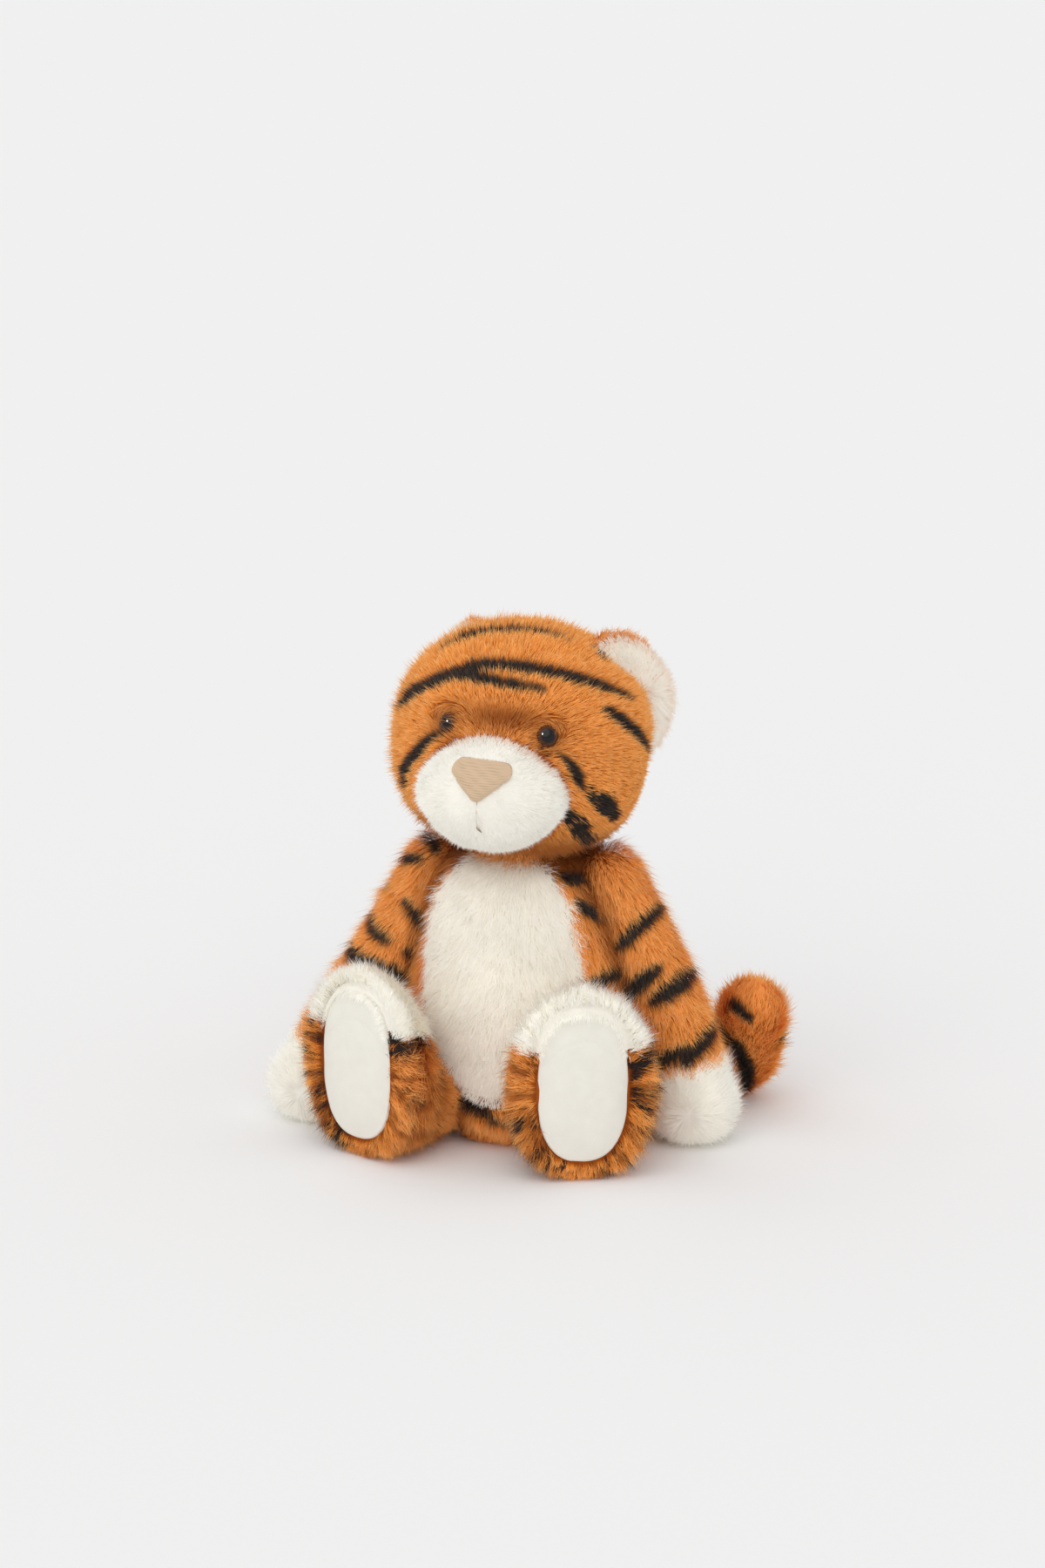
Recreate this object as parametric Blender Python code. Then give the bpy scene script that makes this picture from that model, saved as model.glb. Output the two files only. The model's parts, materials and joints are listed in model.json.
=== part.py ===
"""A seated plush tiger: sewn cloth covers over stuffing, with a floppy seam at each limb.

Metres, +Z up. The toy looks along -Y and its own left side is +X. The origin lies on the
floor under the middle of the seat. Every cover is a shell of cloth and its stuffing fills it.
Each limb starts as a ball about its seam, in a round hollow of the torso, so it can swing.
"""

import math

import bmesh
import bpy
import numpy as np
from mathutils import Matrix, Vector

# Cloth, seams and cuts
CLOTH = 0.0030          # backing cloth with the packed roots of its pile
GAP = 0.0003            # between pieces that touch
SLACK = 0.0004          # more room for stuffing where a limb bends or swells
FLOOR_SINK = 0.0005     # how deep a soft form is pressed flat where it stands
OVERRUN = 0.030         # how far a cutter runs past what it cuts

# Torso
TORSO_HEIGHT = 0.148
TORSO_WIDTH = 0.130
TORSO_DEPTH = 0.102
TORSO_LEAN = 0.009      # how far the shoulders sit in front of the seat
# height, width, depth and lean, from the seat to the neck opening
TORSO_SHARES = [
    (0.00, 0.76, 0.76, 0.00),
    (0.06, 0.92, 0.92, 0.00),
    (0.22, 1.00, 1.00, 0.00),
    (0.45, 0.97, 0.98, 0.10),
    (0.68, 0.86, 0.89, 0.45),
    (0.86, 0.73, 0.77, 0.80),
    (0.96, 0.60, 0.62, 0.95),
    (1.00, 0.42, 0.46, 1.00),
]
POUCH_HEIGHT = 0.030    # pellets fill the seat up to here

# Belly panel
PANEL_WIDTH_SHARE = 0.60        # of the torso's width
PANEL_HEIGHT_SHARE = 0.85135    # of the torso's height
PANEL_MIDDLE_SHARE = 0.58784    # its middle's height; its top runs into the neck opening
PANEL_ASIDE = -0.0025   # it is sewn a little to the right
PANEL_POWER = 2.5       # 2 is an ellipse, more is squarer

# Neck
NECK_RADIUS = 0.019
NECK_HEIGHT = 0.152

# Head, measured from its own middle
HEAD_WIDTH = 0.126
HEAD_DEPTH = 0.112
HEAD_HEIGHT = 0.110
HEAD_RISE = 0.057       # of its middle above the neck joint
HEAD_FORWARD = 0.004
HEAD_ROLL = math.radians(4.0)
HEAD_ASIDE = -0.0025    # it sits a little to the right on the neck
CHEEK_POWER = 2.7       # fullness of the cheeks
CROWN_POWER = 2.1       # fullness of the crown

# Muzzle, nose and mouth
MUZZLE_WIDTH = 0.070
MUZZLE_HEIGHT = 0.055
MUZZLE_LENGTH = 0.062
MUZZLE_FORWARD = 0.050
MUZZLE_DROP = 0.018
MUZZLE_POWER = 2.3
NOSE_WIDTH = 0.030
NOSE_HEIGHT = 0.0175
NOSE_CORNER = 0.004
NOSE_THICKNESS = 0.0018
NOSE_DROP = 0.0065      # below the middle of the head
MOUTH_LENGTH = 0.014
THREAD_RADIUS = 0.0007

# Bead eyes on shanks, locked by washers
EYE_WIDTH = 0.011
EYE_BULGE = 0.0042
EYE_SPACING_SHARE = 0.40476     # of the head's width
EYE_RISE_SHARE = 0.12727        # of the head's height
SHANK_RADIUS = 0.0016
SHANK_LENGTH = 0.012
WASHER_RADIUS = 0.0065
WASHER_THICKNESS = 0.0015

# Ears, each a back and a lining
EAR_LENGTH = 0.070      # along its seam with the head
EAR_REACH = 0.028       # outwards from that seam
EAR_BACK_THICKNESS = 0.0050
EAR_LINING_THICKNESS = 0.0036
EAR_HEM = 0.0040        # the back shows round the lining
EAR_CUP = 0.0060        # how far its rim curls forward
# its seam's middle from the middle of the head, as shares of width, depth and height
LEFT_EAR_PLACE_SHARES = (0.35317, 0.10714, 0.18182)
RIGHT_EAR_PLACE_SHARES = (0.30159, 0.26786, 0.12727)    # laid back behind the head
LEFT_EAR_YAW = math.radians(50.0)
RIGHT_EAR_YAW = math.radians(62.0)
EAR_LEAN = math.radians(-20.0)

# Arms
SHOULDER_OUT_SHARE = 0.33846     # of the torso's width
SHOULDER_FORWARD = 0.008
SHOULDER_HEIGHT = 0.134
SHOULDER_RADIUS = 0.0175
UPPER_ARM_RADIUS = 0.0150
WRIST_RADIUS = 0.0165
PAW_RADIUS = 0.0195
LEFT_ELBOW_BOW = 0.006  # how far the arm bows outwards
RIGHT_ELBOW_BOW = 0.001
LEFT_PAW_SPREAD = 0.047     # how far outside the shoulder the paw stands
LEFT_PAW_FORWARD = 0.008
RIGHT_PAW_SPREAD = 0.065
RIGHT_PAW_FORWARD = 0.026
PAW_SEAM_SHARE = 0.85   # of the way down the arm
ARM_RADIUS_SHARES = [0.00, 0.25, 0.70, 1.00]
ARM_LIFT = math.radians(60.0)
LIFTED_ARM_SHARES = (0.80, -0.55, -0.20)    # the way it points when lifted

# Legs
HIP_OUT_SHARE = 0.33077  # of the torso's width
HIP_FORWARD = 0.022
HIP_RADIUS = 0.0250
THIGH_RADIUS = 0.0235
LEG_LENGTH = 0.063      # from the hip joint to the sole
LEFT_HIP_HEADING = math.radians(-7.0)
RIGHT_HIP_HEADING = math.radians(20.0)
FOOT_HEADING = math.radians(24.0)
FOOT_WIDTH = 0.066
FOOT_HEIGHT = 0.0945
SOLE_WIDTH = 0.044
SOLE_HEIGHT_SHARE = 0.79365     # of the foot's height
SOLE_RISE = 0.0020      # of its middle above the middle of the foot
SOLE_BULGE = 0.0030
TOE_SEAM_SHARE = 0.69841        # of the foot's height
# along the leg, then how far its section has grown from thigh to foot
FOOT_GROWTH_SHARES = [(0.46, 0.05), (0.58, 0.38), (0.68, 0.78), (0.78, 0.97), (0.88, 1.00)]
FOOT_EDGE_SHARE = 0.96  # where the foot rounds over to the rim of its sole
LEG_LIFT = math.radians(6.0)
LEG_DROP = math.radians(45.0)

# Tail
TAIL_RADIUS = 0.0165
TAIL_TIP_RADIUS = 0.0155
TAIL_ROOT_RADIUS = 0.0155
TAIL_WAIST_RADIUS = 0.0135
TAIL_ROOT_OUT = 0.008
TAIL_ROOT_BEHIND = 0.054
TAIL_ROOT_HEIGHT = 0.024
TAIL_BEND_OUT = 0.054
TAIL_BEND_BEHIND = 0.078
TAIL_CURL_OUT = 0.092
TAIL_CURL_BEHIND = 0.068
TAIL_TIP_OUT = 0.107
TAIL_TIP_BEHIND = 0.054
TAIL_TIP_HEIGHT = 0.050
TAIL_RADIUS_SHARES = [0.00, 0.20, 0.45, 0.80, 1.00]
TAIL_FORWARD = math.radians(-8.0)
TAIL_BACK = math.radians(105.0)

# Facets
TORSO_SIDES = 24
MUZZLE_SIDES = 20
LIMB_SIDES = 14
BALL_SIDES = 16
SMALL_SIDES = 12
THREAD_SIDES = 6
TORSO_RINGS = 10
HEAD_RINGS = 11
MUZZLE_RINGS = 8
LIMB_RINGS = 6
TAIL_RINGS = 11
CAP_RINGS = 3

X_AXIS = np.array([1.0, 0.0, 0.0])
Y_AXIS = np.array([0.0, 1.0, 0.0])
Z_AXIS = np.array([0.0, 0.0, 1.0])
LEFT = 1
RIGHT = -1
SIDE_NAMES = {LEFT: "left", RIGHT: "right"}


# Materials

def linear(channel):
    """An sRGB channel as scene-linear light."""
    return channel / 12.92 if channel <= 0.04045 else ((channel + 0.055) / 1.055) ** 2.4


def make_material(name, hex_colour, roughness, metallic=0.0):
    material = bpy.data.materials.new(name)
    material.use_nodes = True
    channels = [int(hex_colour[i:i + 2], 16) / 255 for i in (0, 2, 4)]
    shader = material.node_tree.nodes["Principled BSDF"]
    shader.inputs["Base Color"].default_value = (*map(linear, channels), 1.0)
    shader.inputs["Roughness"].default_value = roughness
    shader.inputs["Metallic"].default_value = metallic
    return material


# Meshes made of rings

def ring(middle, across, upward, half_width, half_height, sides):
    """An oval of points round middle, in the plane of across and upward."""
    turn = np.arange(sides) * (2 * math.pi / sides)
    wide = np.outer(np.cos(turn) * half_width, across)
    high = np.outer(np.sin(turn) * half_height, upward)
    return np.asarray(middle) + wide + high


def point(place):
    """A pole that closes a chain of rings."""
    return np.asarray(place, float).reshape(1, 3)


def chain_faces(chain):
    """Quads between following rings and fans between a ring and a pole.

    The last ring joins the first one too, and two poles in a row stay apart.
    """
    starts = np.cumsum([0] + [len(part) for part in chain])
    faces = []
    for index, part in enumerate(chain):
        after = (index + 1) % len(chain)
        first, second = int(starts[index]), int(starts[after])
        sides = max(len(part), len(chain[after]))
        if sides == 1:
            continue
        for turn in range(sides):
            following = (turn + 1) % sides
            near = [first] if len(part) == 1 else [first + turn, first + following]
            far = [second] if len(chain[after]) == 1 else [second + following, second + turn]
            faces.append(near + far)
    return faces


def make_mesh(name, chain):
    mesh = bpy.data.meshes.new(name)
    mesh.from_pydata(np.concatenate(chain).tolist(), [], chain_faces(chain))
    shape = bmesh.new()
    shape.from_mesh(mesh)
    bmesh.ops.recalc_face_normals(shape, faces=shape.faces)
    shape.to_mesh(mesh)
    shape.free()
    return mesh


def add_piece(name, chain, material, body):
    """A named piece of the toy, carried by the empty on its body's joint."""
    piece = bpy.data.objects.new(name, make_mesh(name, chain))
    bpy.context.collection.objects.link(piece)
    piece.data.materials.append(material)
    piece.data.shade_smooth()
    piece.data.set_sharp_from_angle(angle=math.radians(50))
    piece.parent = body
    piece.matrix_parent_inverse = Matrix.Translation(-body.location)
    return piece


def add_cutter(name, mesh):
    """A guide that shapes other pieces and isn't part of the toy."""
    cutter = bpy.data.objects.new(name, mesh)
    bpy.context.collection.objects.link(cutter)
    cutter.hide_render = True
    cutter.display_type = "WIRE"
    return cutter


def combine(piece, other, operation):
    step = piece.modifiers.new(f"{operation.lower()} {other.name}", "BOOLEAN")
    step.object = other
    step.operation = operation
    step.solver = "EXACT"


def cut(pieces, *cutters):
    for piece in pieces:
        for cutter in cutters:
            combine(piece, cutter, "DIFFERENCE")


def add_body(name, place):
    """An empty on the joint that carries a group of pieces."""
    body = bpy.data.objects.new(name, None)
    body.location = Vector(place)
    bpy.context.collection.objects.link(body)
    return body


# Forms

def smooth_rows(rows, count):
    """Rows of numbers followed by a Catmull-Rom curve, read at count even steps."""
    rows = np.asarray(rows, float)
    ends = np.vstack([2 * rows[0] - rows[1], rows, 2 * rows[-1] - rows[-2]])
    place = np.linspace(0, len(rows) - 1, count)
    first = np.minimum(place.astype(int), len(rows) - 2)
    t = (place - first)[:, None]
    a, b, c, d = (ends[first + step] for step in range(4))
    return 0.5 * (2 * b + (c - a) * t + (2 * a - 5 * b + 4 * c - d) * t**2
                  + (3 * b - a - 3 * c + d) * t**3)


def torso_rings(shrink):
    """The pear of the torso, from its seat to the neck opening, made smaller by shrink."""
    rings = []
    for height, width, depth, lean in smooth_rows(TORSO_SHARES, TORSO_RINGS):
        inner_height = TORSO_HEIGHT - 2 * shrink
        middle = (0, -lean * TORSO_LEAN, shrink - FLOOR_SINK + height * inner_height)
        half_width = width * TORSO_WIDTH / 2 - shrink
        half_depth = depth * TORSO_DEPTH / 2 - shrink
        rings.append(ring(middle, X_AXIS, Y_AXIS, half_width, half_depth, TORSO_SIDES))
    return rings


def egg(half_width, half_depth, half_height, low_power, high_power, sides, count):
    """A closed superellipsoid along local Z: pole, rings, pole."""
    chain = [point((0, 0, -half_height))]
    for step in range(1, count + 1):
        angle = math.pi * step / (count + 1)
        power = low_power if angle < math.pi / 2 else high_power
        height = -math.copysign(abs(math.cos(angle)) ** (2 / power), math.cos(angle))
        width = math.sin(angle) ** (2 / power)
        middle = (0, 0, height * half_height)
        chain.append(ring(middle, X_AXIS, Y_AXIS, width * half_width, width * half_depth, sides))
    chain.append(point((0, 0, half_height)))
    return chain


def moved(chain, matrix):
    """The chain's points in the place that matrix gives."""
    turn = np.array(matrix.to_3x3())
    shift = np.array(matrix.translation)
    return [part @ turn.T + shift for part in chain]


def ball(middle, radius):
    shift = Matrix.Translation(Vector(middle))
    return moved(egg(radius, radius, radius, 2, 2, BALL_SIDES, BALL_SIDES // 2 - 1), shift)


def turned_ball(middle, radius):
    """A ball turned by half a facet each way: its corners face the flats of its hollow."""
    half = math.pi / BALL_SIDES
    turn = Matrix.Rotation(half, 4, "X") @ Matrix.Rotation(half, 4, "Z")
    form = egg(radius, radius, radius, 2, 2, BALL_SIDES, BALL_SIDES // 2 - 1)
    return moved(form, Matrix.Translation(Vector(middle)) @ turn)


def socket_radius(radius):
    """Radius of a faceted ball that stays a gap clear of a round one."""
    return (radius + GAP) / math.cos(math.pi / BALL_SIDES) ** 2


def hull_mesh(name, chains):
    """The convex hull round several balls: the space that a swinging limb sweeps."""
    shape = bmesh.new()
    for place in np.concatenate([part for chain in chains for part in chain]):
        shape.verts.new(place)
    result = bmesh.ops.convex_hull(shape, input=shape.verts)
    inside = [item for item in result["geom_interior"] if isinstance(item, bmesh.types.BMVert)]
    bmesh.ops.delete(shape, geom=inside, context="VERTS")
    bmesh.ops.recalc_face_normals(shape, faces=shape.faces)
    mesh = bpy.data.meshes.new(name)
    shape.to_mesh(mesh)
    shape.free()
    return mesh


def box_chain(low, high):
    """A block between two corners, as two square rings with their poles."""
    low, high = np.asarray(low, float), np.asarray(high, float)
    corners = [(low[0], low[1]), (high[0], low[1]), (high[0], high[1]), (low[0], high[1])]
    middle = (low + high) / 2
    bottom = np.array([(x, y, low[2]) for x, y in corners])
    top = np.array([(x, y, high[2]) for x, y in corners])
    return [point((middle[0], middle[1], low[2])), bottom, top,
            point((middle[0], middle[1], high[2]))]


def capsule_rings(spine, radii, shrink, sides=LIMB_SIDES):
    """Round rings along a spine, with a half ball at each end, made smaller by shrink.

    spine is an array of places and radii has the form's radius at each of them.
    """
    steps = np.gradient(spine, axis=0)
    tangents = steps / np.linalg.norm(steps, axis=1)[:, None]
    across = np.cross(tangents[0], Y_AXIS if abs(tangents[0][1]) < 0.7 else Z_AXIS)
    across /= np.linalg.norm(across)
    rings = []
    for index, (place, tangent, radius) in enumerate(zip(spine, tangents, radii)):
        across = across - tangent * np.dot(across, tangent)
        across /= np.linalg.norm(across)
        upward = np.cross(tangent, across)
        radius -= shrink
        if index == 0:
            for step in range(1, CAP_RINGS + 1):
                angle = math.pi / 2 * step / (CAP_RINGS + 1)
                middle = place - tangent * radius * math.cos(angle)
                width = radius * math.sin(angle)
                rings.append(ring(middle, across, upward, width, width, sides))
        rings.append(ring(place, across, upward, radius, radius, sides))
        if index == len(spine) - 1:
            for step in range(1, CAP_RINGS + 1):
                angle = math.pi / 2 * step / (CAP_RINGS + 1)
                middle = place + tangent * radius * math.sin(angle)
                width = radius * math.cos(angle)
                rings.append(ring(middle, across, upward, width, width, sides))
    root = point(spine[0] - tangents[0] * (radii[0] - shrink))
    tip = point(spine[-1] + tangents[-1] * (radii[-1] - shrink))
    return root, rings, tip


def plainer(chain):
    """Every second point of a rounded form: it stays inside the form that it is read from."""
    return [part[::2] for part in chain]


def seam_gap(first, second):
    """Two neighbouring rings moved apart, so that the pieces they end keep a gap."""
    between = second.mean(axis=0) - first.mean(axis=0)
    return first + between * (GAP / np.linalg.norm(between))


# The toy's parts

def make_torso(body, fur, cream, stuffing, sack, floor, sockets, neck_ball):
    outer = torso_rings(0)
    inner = torso_rings(CLOTH)
    bottom = [point(outer[0].mean(axis=0)), *outer]
    cover_chain = bottom + inner[::-1] + [point(inner[0].mean(axis=0))]
    filled = plainer(torso_rings(CLOTH + GAP))
    filling_chain = [point(filled[0].mean(axis=0)), *filled, point(filled[-1].mean(axis=0))]

    half_width = PANEL_WIDTH_SHARE * TORSO_WIDTH / 2
    half_height = PANEL_HEIGHT_SHARE * TORSO_HEIGHT / 2
    outline = smooth_outline(half_width, half_height, PANEL_POWER, TORSO_SIDES)
    grown = smooth_outline(half_width + GAP, half_height + GAP, PANEL_POWER, TORSO_SIDES)
    panel_zone = add_cutter("panel_zone", make_mesh("panel_zone", front_prism(outline, 0)))
    panel_opening = add_cutter("panel_opening", make_mesh("panel_opening", front_prism(grown, GAP)))
    reach = TORSO_WIDTH
    low = (-reach, -reach, -OVERRUN)
    pouch_zone = add_cutter("pouch_zone", make_mesh(
        "pouch_zone", box_chain(low, (reach, reach, POUCH_HEIGHT))))
    filling_zone = add_cutter("filling_zone", make_mesh(
        "filling_zone", box_chain(low, (reach, reach, POUCH_HEIGHT + GAP))))

    cover = add_piece("torso_cover", cover_chain, fur, body)
    panel = add_piece("belly_panel", cover_chain, cream, body)
    filling = add_piece("torso_filling", filling_chain, stuffing, body)
    pouch = add_piece("pellet_pouch", filling_chain, sack, body)
    combine(panel, panel_zone, "INTERSECT")
    combine(pouch, pouch_zone, "INTERSECT")
    cut([cover], panel_opening, floor)
    cut([filling], filling_zone)
    cut([cover, panel, filling, pouch], *sockets)
    cut([cover, panel, filling], neck_ball)


def smooth_outline(half_width, half_height, power, sides):
    """A superellipse in the plane of X and Z, as pairs of numbers."""
    turn = np.arange(sides) * (2 * math.pi / sides)
    wide = np.sign(np.cos(turn)) * np.abs(np.cos(turn)) ** (2 / power) * half_width
    high = np.sign(np.sin(turn)) * np.abs(np.sin(turn)) ** (2 / power) * half_height
    return np.column_stack([wide, high])


def front_prism(outline, extra):
    """The panel's outline run back from before the belly to beside the front of the neck."""
    front = np.column_stack([outline[:, 0] + PANEL_ASIDE, np.full(len(outline), -TORSO_DEPTH),
                             outline[:, 1] + PANEL_MIDDLE_SHARE * TORSO_HEIGHT])
    back = front * [1, 0, 1] - [0, TORSO_LEAN + NECK_RADIUS / 2 - extra, 0]
    return [point(front.mean(axis=0)), front, back, point(back.mean(axis=0))]


def head_matrix():
    """The head's own frame, tilted about the neck joint."""
    rise = Matrix.Translation((HEAD_ASIDE, -HEAD_FORWARD, HEAD_RISE))
    tilt = Matrix.Rotation(HEAD_ROLL, 4, "Y")
    return Matrix.Translation(Vector(neck_place())) @ tilt @ rise


def neck_place():
    return (0, -TORSO_LEAN, NECK_HEIGHT)


def head_form(grow):
    half_width, half_depth, half_height = (size / 2 + grow for size in
                                           (HEAD_WIDTH, HEAD_DEPTH, HEAD_HEIGHT))
    form = egg(half_width, half_depth, half_height, CHEEK_POWER, CROWN_POWER, TORSO_SIDES,
               HEAD_RINGS)
    return moved(form, head_matrix())


def muzzle_matrix():
    """The muzzle's own frame: its Z runs forward out of the face."""
    forward = Matrix.Rotation(math.radians(90), 4, "X")
    shift = Matrix.Translation((0, -MUZZLE_FORWARD, -MUZZLE_DROP))
    return head_matrix() @ shift @ forward


def muzzle_form(grow):
    half_width, half_height, half_length = (size / 2 + grow for size in
                                            (MUZZLE_WIDTH, MUZZLE_HEIGHT, MUZZLE_LENGTH))
    form = egg(half_width, half_height, half_length, MUZZLE_POWER, MUZZLE_POWER,
               MUZZLE_SIDES, MUZZLE_RINGS)
    return moved(form, muzzle_matrix())


def make_head(body, fur, white, velour, thread, gloss, plastic, stuffing, neck_ball):
    matrix = head_matrix()
    outer, inner, filled = (head_form(-depth) for depth in (0, CLOTH, CLOTH + GAP))
    # An opening at the underside joins the two surfaces, and the neck's hollow widens it.
    cover_chain = outer[1:] + inner[:0:-1]
    cover = add_piece("head_cover", cover_chain, fur, body)
    filling = add_piece("head_filling", plainer(filled), stuffing, body)

    muzzle_outer, muzzle_inner, muzzle_filled = (
        muzzle_form(-depth) for depth in (0, CLOTH, CLOTH + GAP))
    muzzle_chain = muzzle_outer[1:] + muzzle_inner[:0:-1]
    muzzle = add_piece("muzzle_cover", muzzle_chain, white, body)
    inside = add_cutter("head_inside", make_mesh("head_inside", inner))
    opening = add_cutter("muzzle_opening", make_mesh("muzzle_opening", muzzle_form(GAP)))
    bulge = add_cutter("muzzle_bulge", make_mesh("muzzle_bulge", muzzle_filled))
    cut([muzzle], inside)
    cut([cover], opening, neck_ball)
    combine(filling, bulge, "UNION")
    cut([filling], neck_ball)

    make_nose(body, velour)
    make_mouth(body, thread)
    for side in (LEFT, RIGHT):
        make_eye(side, body, gloss, plastic, cover, filling)
    grown = add_cutter("head_outside", make_mesh("head_outside", head_form(GAP)))
    for side in (LEFT, RIGHT):
        make_ear(side, body, fur, white, grown, matrix)


def make_nose(body, velour):
    """A rounded triangle of ribbed cloth on the top of the muzzle's front."""
    outer = muzzle_form(GAP + NOSE_THICKNESS)
    inner = muzzle_form(GAP)
    nose = add_piece("nose_patch", outer[1:] + inner[:0:-1], velour, body)
    half_width = NOSE_WIDTH / 2 - NOSE_CORNER
    top = NOSE_HEIGHT / 2 - NOSE_CORNER
    corners = [(half_width, top), (-half_width, top), (0, -top)]
    outline = []
    for index, (x, z) in enumerate(corners):
        for step in range(5):
            turn = math.radians(-30 + 120 * index + 30 * step)
            outline.append((x + NOSE_CORNER * math.cos(turn), z + NOSE_CORNER * math.sin(turn)))
    outline = np.array(outline)
    front = np.column_stack([outline[:, 0], np.full(len(outline), -HEAD_DEPTH),
                             outline[:, 1] - NOSE_DROP])
    back = front * [1, 0, 1] - [0, MUZZLE_FORWARD, 0]
    prism = [point(front.mean(axis=0)), front, back, point(back.mean(axis=0))]
    zone = add_cutter("nose_zone", make_mesh("nose_zone", moved(prism, head_matrix())))
    combine(nose, zone, "INTERSECT")


def on_muzzle(height, grow):
    """A place on the muzzle's middle line, at a height in the head's frame."""
    half_height = MUZZLE_HEIGHT / 2 + grow
    half_length = MUZZLE_LENGTH / 2 + grow
    rise = min(abs(height + MUZZLE_DROP) / half_height, 1)
    forward = half_length * (1 - rise ** MUZZLE_POWER) ** (1 / MUZZLE_POWER)
    return Vector((0, -MUZZLE_FORWARD - forward, height))


def make_mouth(body, thread):
    """The stitched line from the nose's tip down to the mouth."""
    lift = THREAD_RADIUS + GAP
    top = -NOSE_DROP - NOSE_HEIGHT / 2 - lift
    places = [head_matrix() @ on_muzzle(top - MOUTH_LENGTH * step / 4, lift)
              for step in range(5)]
    spine = np.array([tuple(place) for place in places])
    root, rings, tip = capsule_rings(spine, [THREAD_RADIUS] * len(spine), 0, THREAD_SIDES)
    add_piece("mouth_stitch", [root, *rings, tip], thread, body)


def on_face(x, z):
    """The place and outward direction on the front of the head, in its own frame."""
    half_width, half_depth, half_height = HEAD_WIDTH / 2, HEAD_DEPTH / 2, HEAD_HEIGHT / 2
    rise = z / half_height
    size = (1 - rise ** CROWN_POWER) ** (1 / CROWN_POWER)
    y = -half_depth * math.sqrt(size**2 - (x / half_width) ** 2)
    slope = size * (rise / size) ** (CROWN_POWER - 1) / half_height
    return Vector((x, y, z)), Vector((x / half_width**2, y / half_depth**2, slope))


def make_eye(side, body, gloss, plastic, cover, filling):
    """A bead on a shank through the cloth, and the washer that locks it inside."""
    place, outward = on_face(side * EYE_SPACING_SHARE * HEAD_WIDTH / 2,
                             EYE_RISE_SHARE * HEAD_HEIGHT)
    frame = (head_matrix() @ Matrix.Translation(place)
             @ outward.to_track_quat("Z", "Y").to_matrix().to_4x4())
    name = SIDE_NAMES[side]

    dome = egg(EYE_WIDTH / 2, EYE_WIDTH / 2, EYE_BULGE, 2, 2, SMALL_SIDES, 7)
    dome = [part + [0, 0, GAP] for part in dome[4:]]
    shank = [ring((0, 0, height), X_AXIS, Y_AXIS, SHANK_RADIUS, SHANK_RADIUS, SMALL_SIDES)
             for height in (-SHANK_LENGTH, GAP)]
    bead = [point((0, 0, -SHANK_LENGTH)), *shank, *dome]
    add_piece(f"{name}_eye", moved(bead, frame), gloss, body)

    hole = SHANK_RADIUS + GAP
    # The cloth curves away from the flat washer, and its facets lie inside the true form.
    facet = 1 - math.cos(math.pi / TORSO_SIDES)
    behind = -CLOTH - GAP - WASHER_RADIUS**2 / HEAD_DEPTH - HEAD_WIDTH * facet
    washer = [ring((0, 0, height), X_AXIS, Y_AXIS, radius, radius, SMALL_SIDES)
              for height, radius in ((behind, hole), (behind, WASHER_RADIUS),
                                     (behind - WASHER_THICKNESS, WASHER_RADIUS),
                                     (behind - WASHER_THICKNESS, hole))]
    add_piece(f"{name}_eye_washer", moved(washer, frame), plastic, body)

    bore = [point((0, 0, -SHANK_LENGTH - GAP)),
            *[ring((0, 0, height), X_AXIS, Y_AXIS, hole, hole, SMALL_SIDES)
              for height in (-SHANK_LENGTH - GAP, OVERRUN)], point((0, 0, OVERRUN))]
    hollow = WASHER_RADIUS + GAP
    pocket = [point((0, 0, -SHANK_LENGTH - GAP)),
              *[ring((0, 0, height), X_AXIS, Y_AXIS, hollow, hollow, SMALL_SIDES)
                for height in (-SHANK_LENGTH - GAP, OVERRUN)], point((0, 0, OVERRUN))]
    for piece, chain, what in ((cover, bore, "bore"), (filling, pocket, "pocket")):
        label = f"{name}_eye_{what}"
        cut([piece], add_cutter(label, make_mesh(label, moved(chain, frame))))


def ear_panel(inset, front, back, cup):
    """A pillowed half oval between two depths, bent forward towards its rim."""
    half_length = EAR_LENGTH / 2 - inset
    reach = EAR_REACH - inset
    chain = []
    for depth, share in ((front, 0), (front, 0.80), ((2 * front + back) / 3, 1),
                         ((front + 2 * back) / 3, 1), (back, 0.80), (back, 0)):
        size = max(share, 0.001)
        oval = ring((0, 0, 0), X_AXIS, Z_AXIS, reach * size, half_length * size, 2 * SMALL_SIDES)
        bend = cup * (oval[:, 0] / reach).clip(0) ** 2
        oval[:, 1] = depth - bend
        chain.append(oval if share else point(oval.mean(axis=0)))
    return chain


def make_ear(side, body, fur, white, head_outside, matrix):
    """A back with a lining set in front of it, both sewn into the head's side."""
    out, behind, up = LEFT_EAR_PLACE_SHARES if side == LEFT else RIGHT_EAR_PLACE_SHARES
    turn = LEFT_EAR_YAW if side == LEFT else RIGHT_EAR_YAW
    place = Matrix.Translation((side * out * HEAD_WIDTH, behind * HEAD_DEPTH,
                                up * HEAD_HEIGHT))
    lean = Matrix.Rotation(side * EAR_LEAN, 4, "Y")
    yaw = Matrix.Rotation(side * turn, 4, "Z")
    frame = matrix @ place @ yaw @ lean @ Matrix.Diagonal((side, 1, 1, 1))
    name = SIDE_NAMES[side]
    back = ear_panel(0, GAP, EAR_BACK_THICKNESS, EAR_CUP)
    lining = ear_panel(EAR_HEM, -EAR_LINING_THICKNESS, 0, EAR_CUP)
    pieces = [add_piece(f"{name}_ear_back", moved(back, frame), fur, body),
              add_piece(f"{name}_ear_lining", moved(lining, frame), white, body)]
    cut(pieces, head_outside)


def shoulder_place(side):
    out = SHOULDER_OUT_SHARE * TORSO_WIDTH
    return np.array([side * out, -SHOULDER_FORWARD, SHOULDER_HEIGHT])


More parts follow.
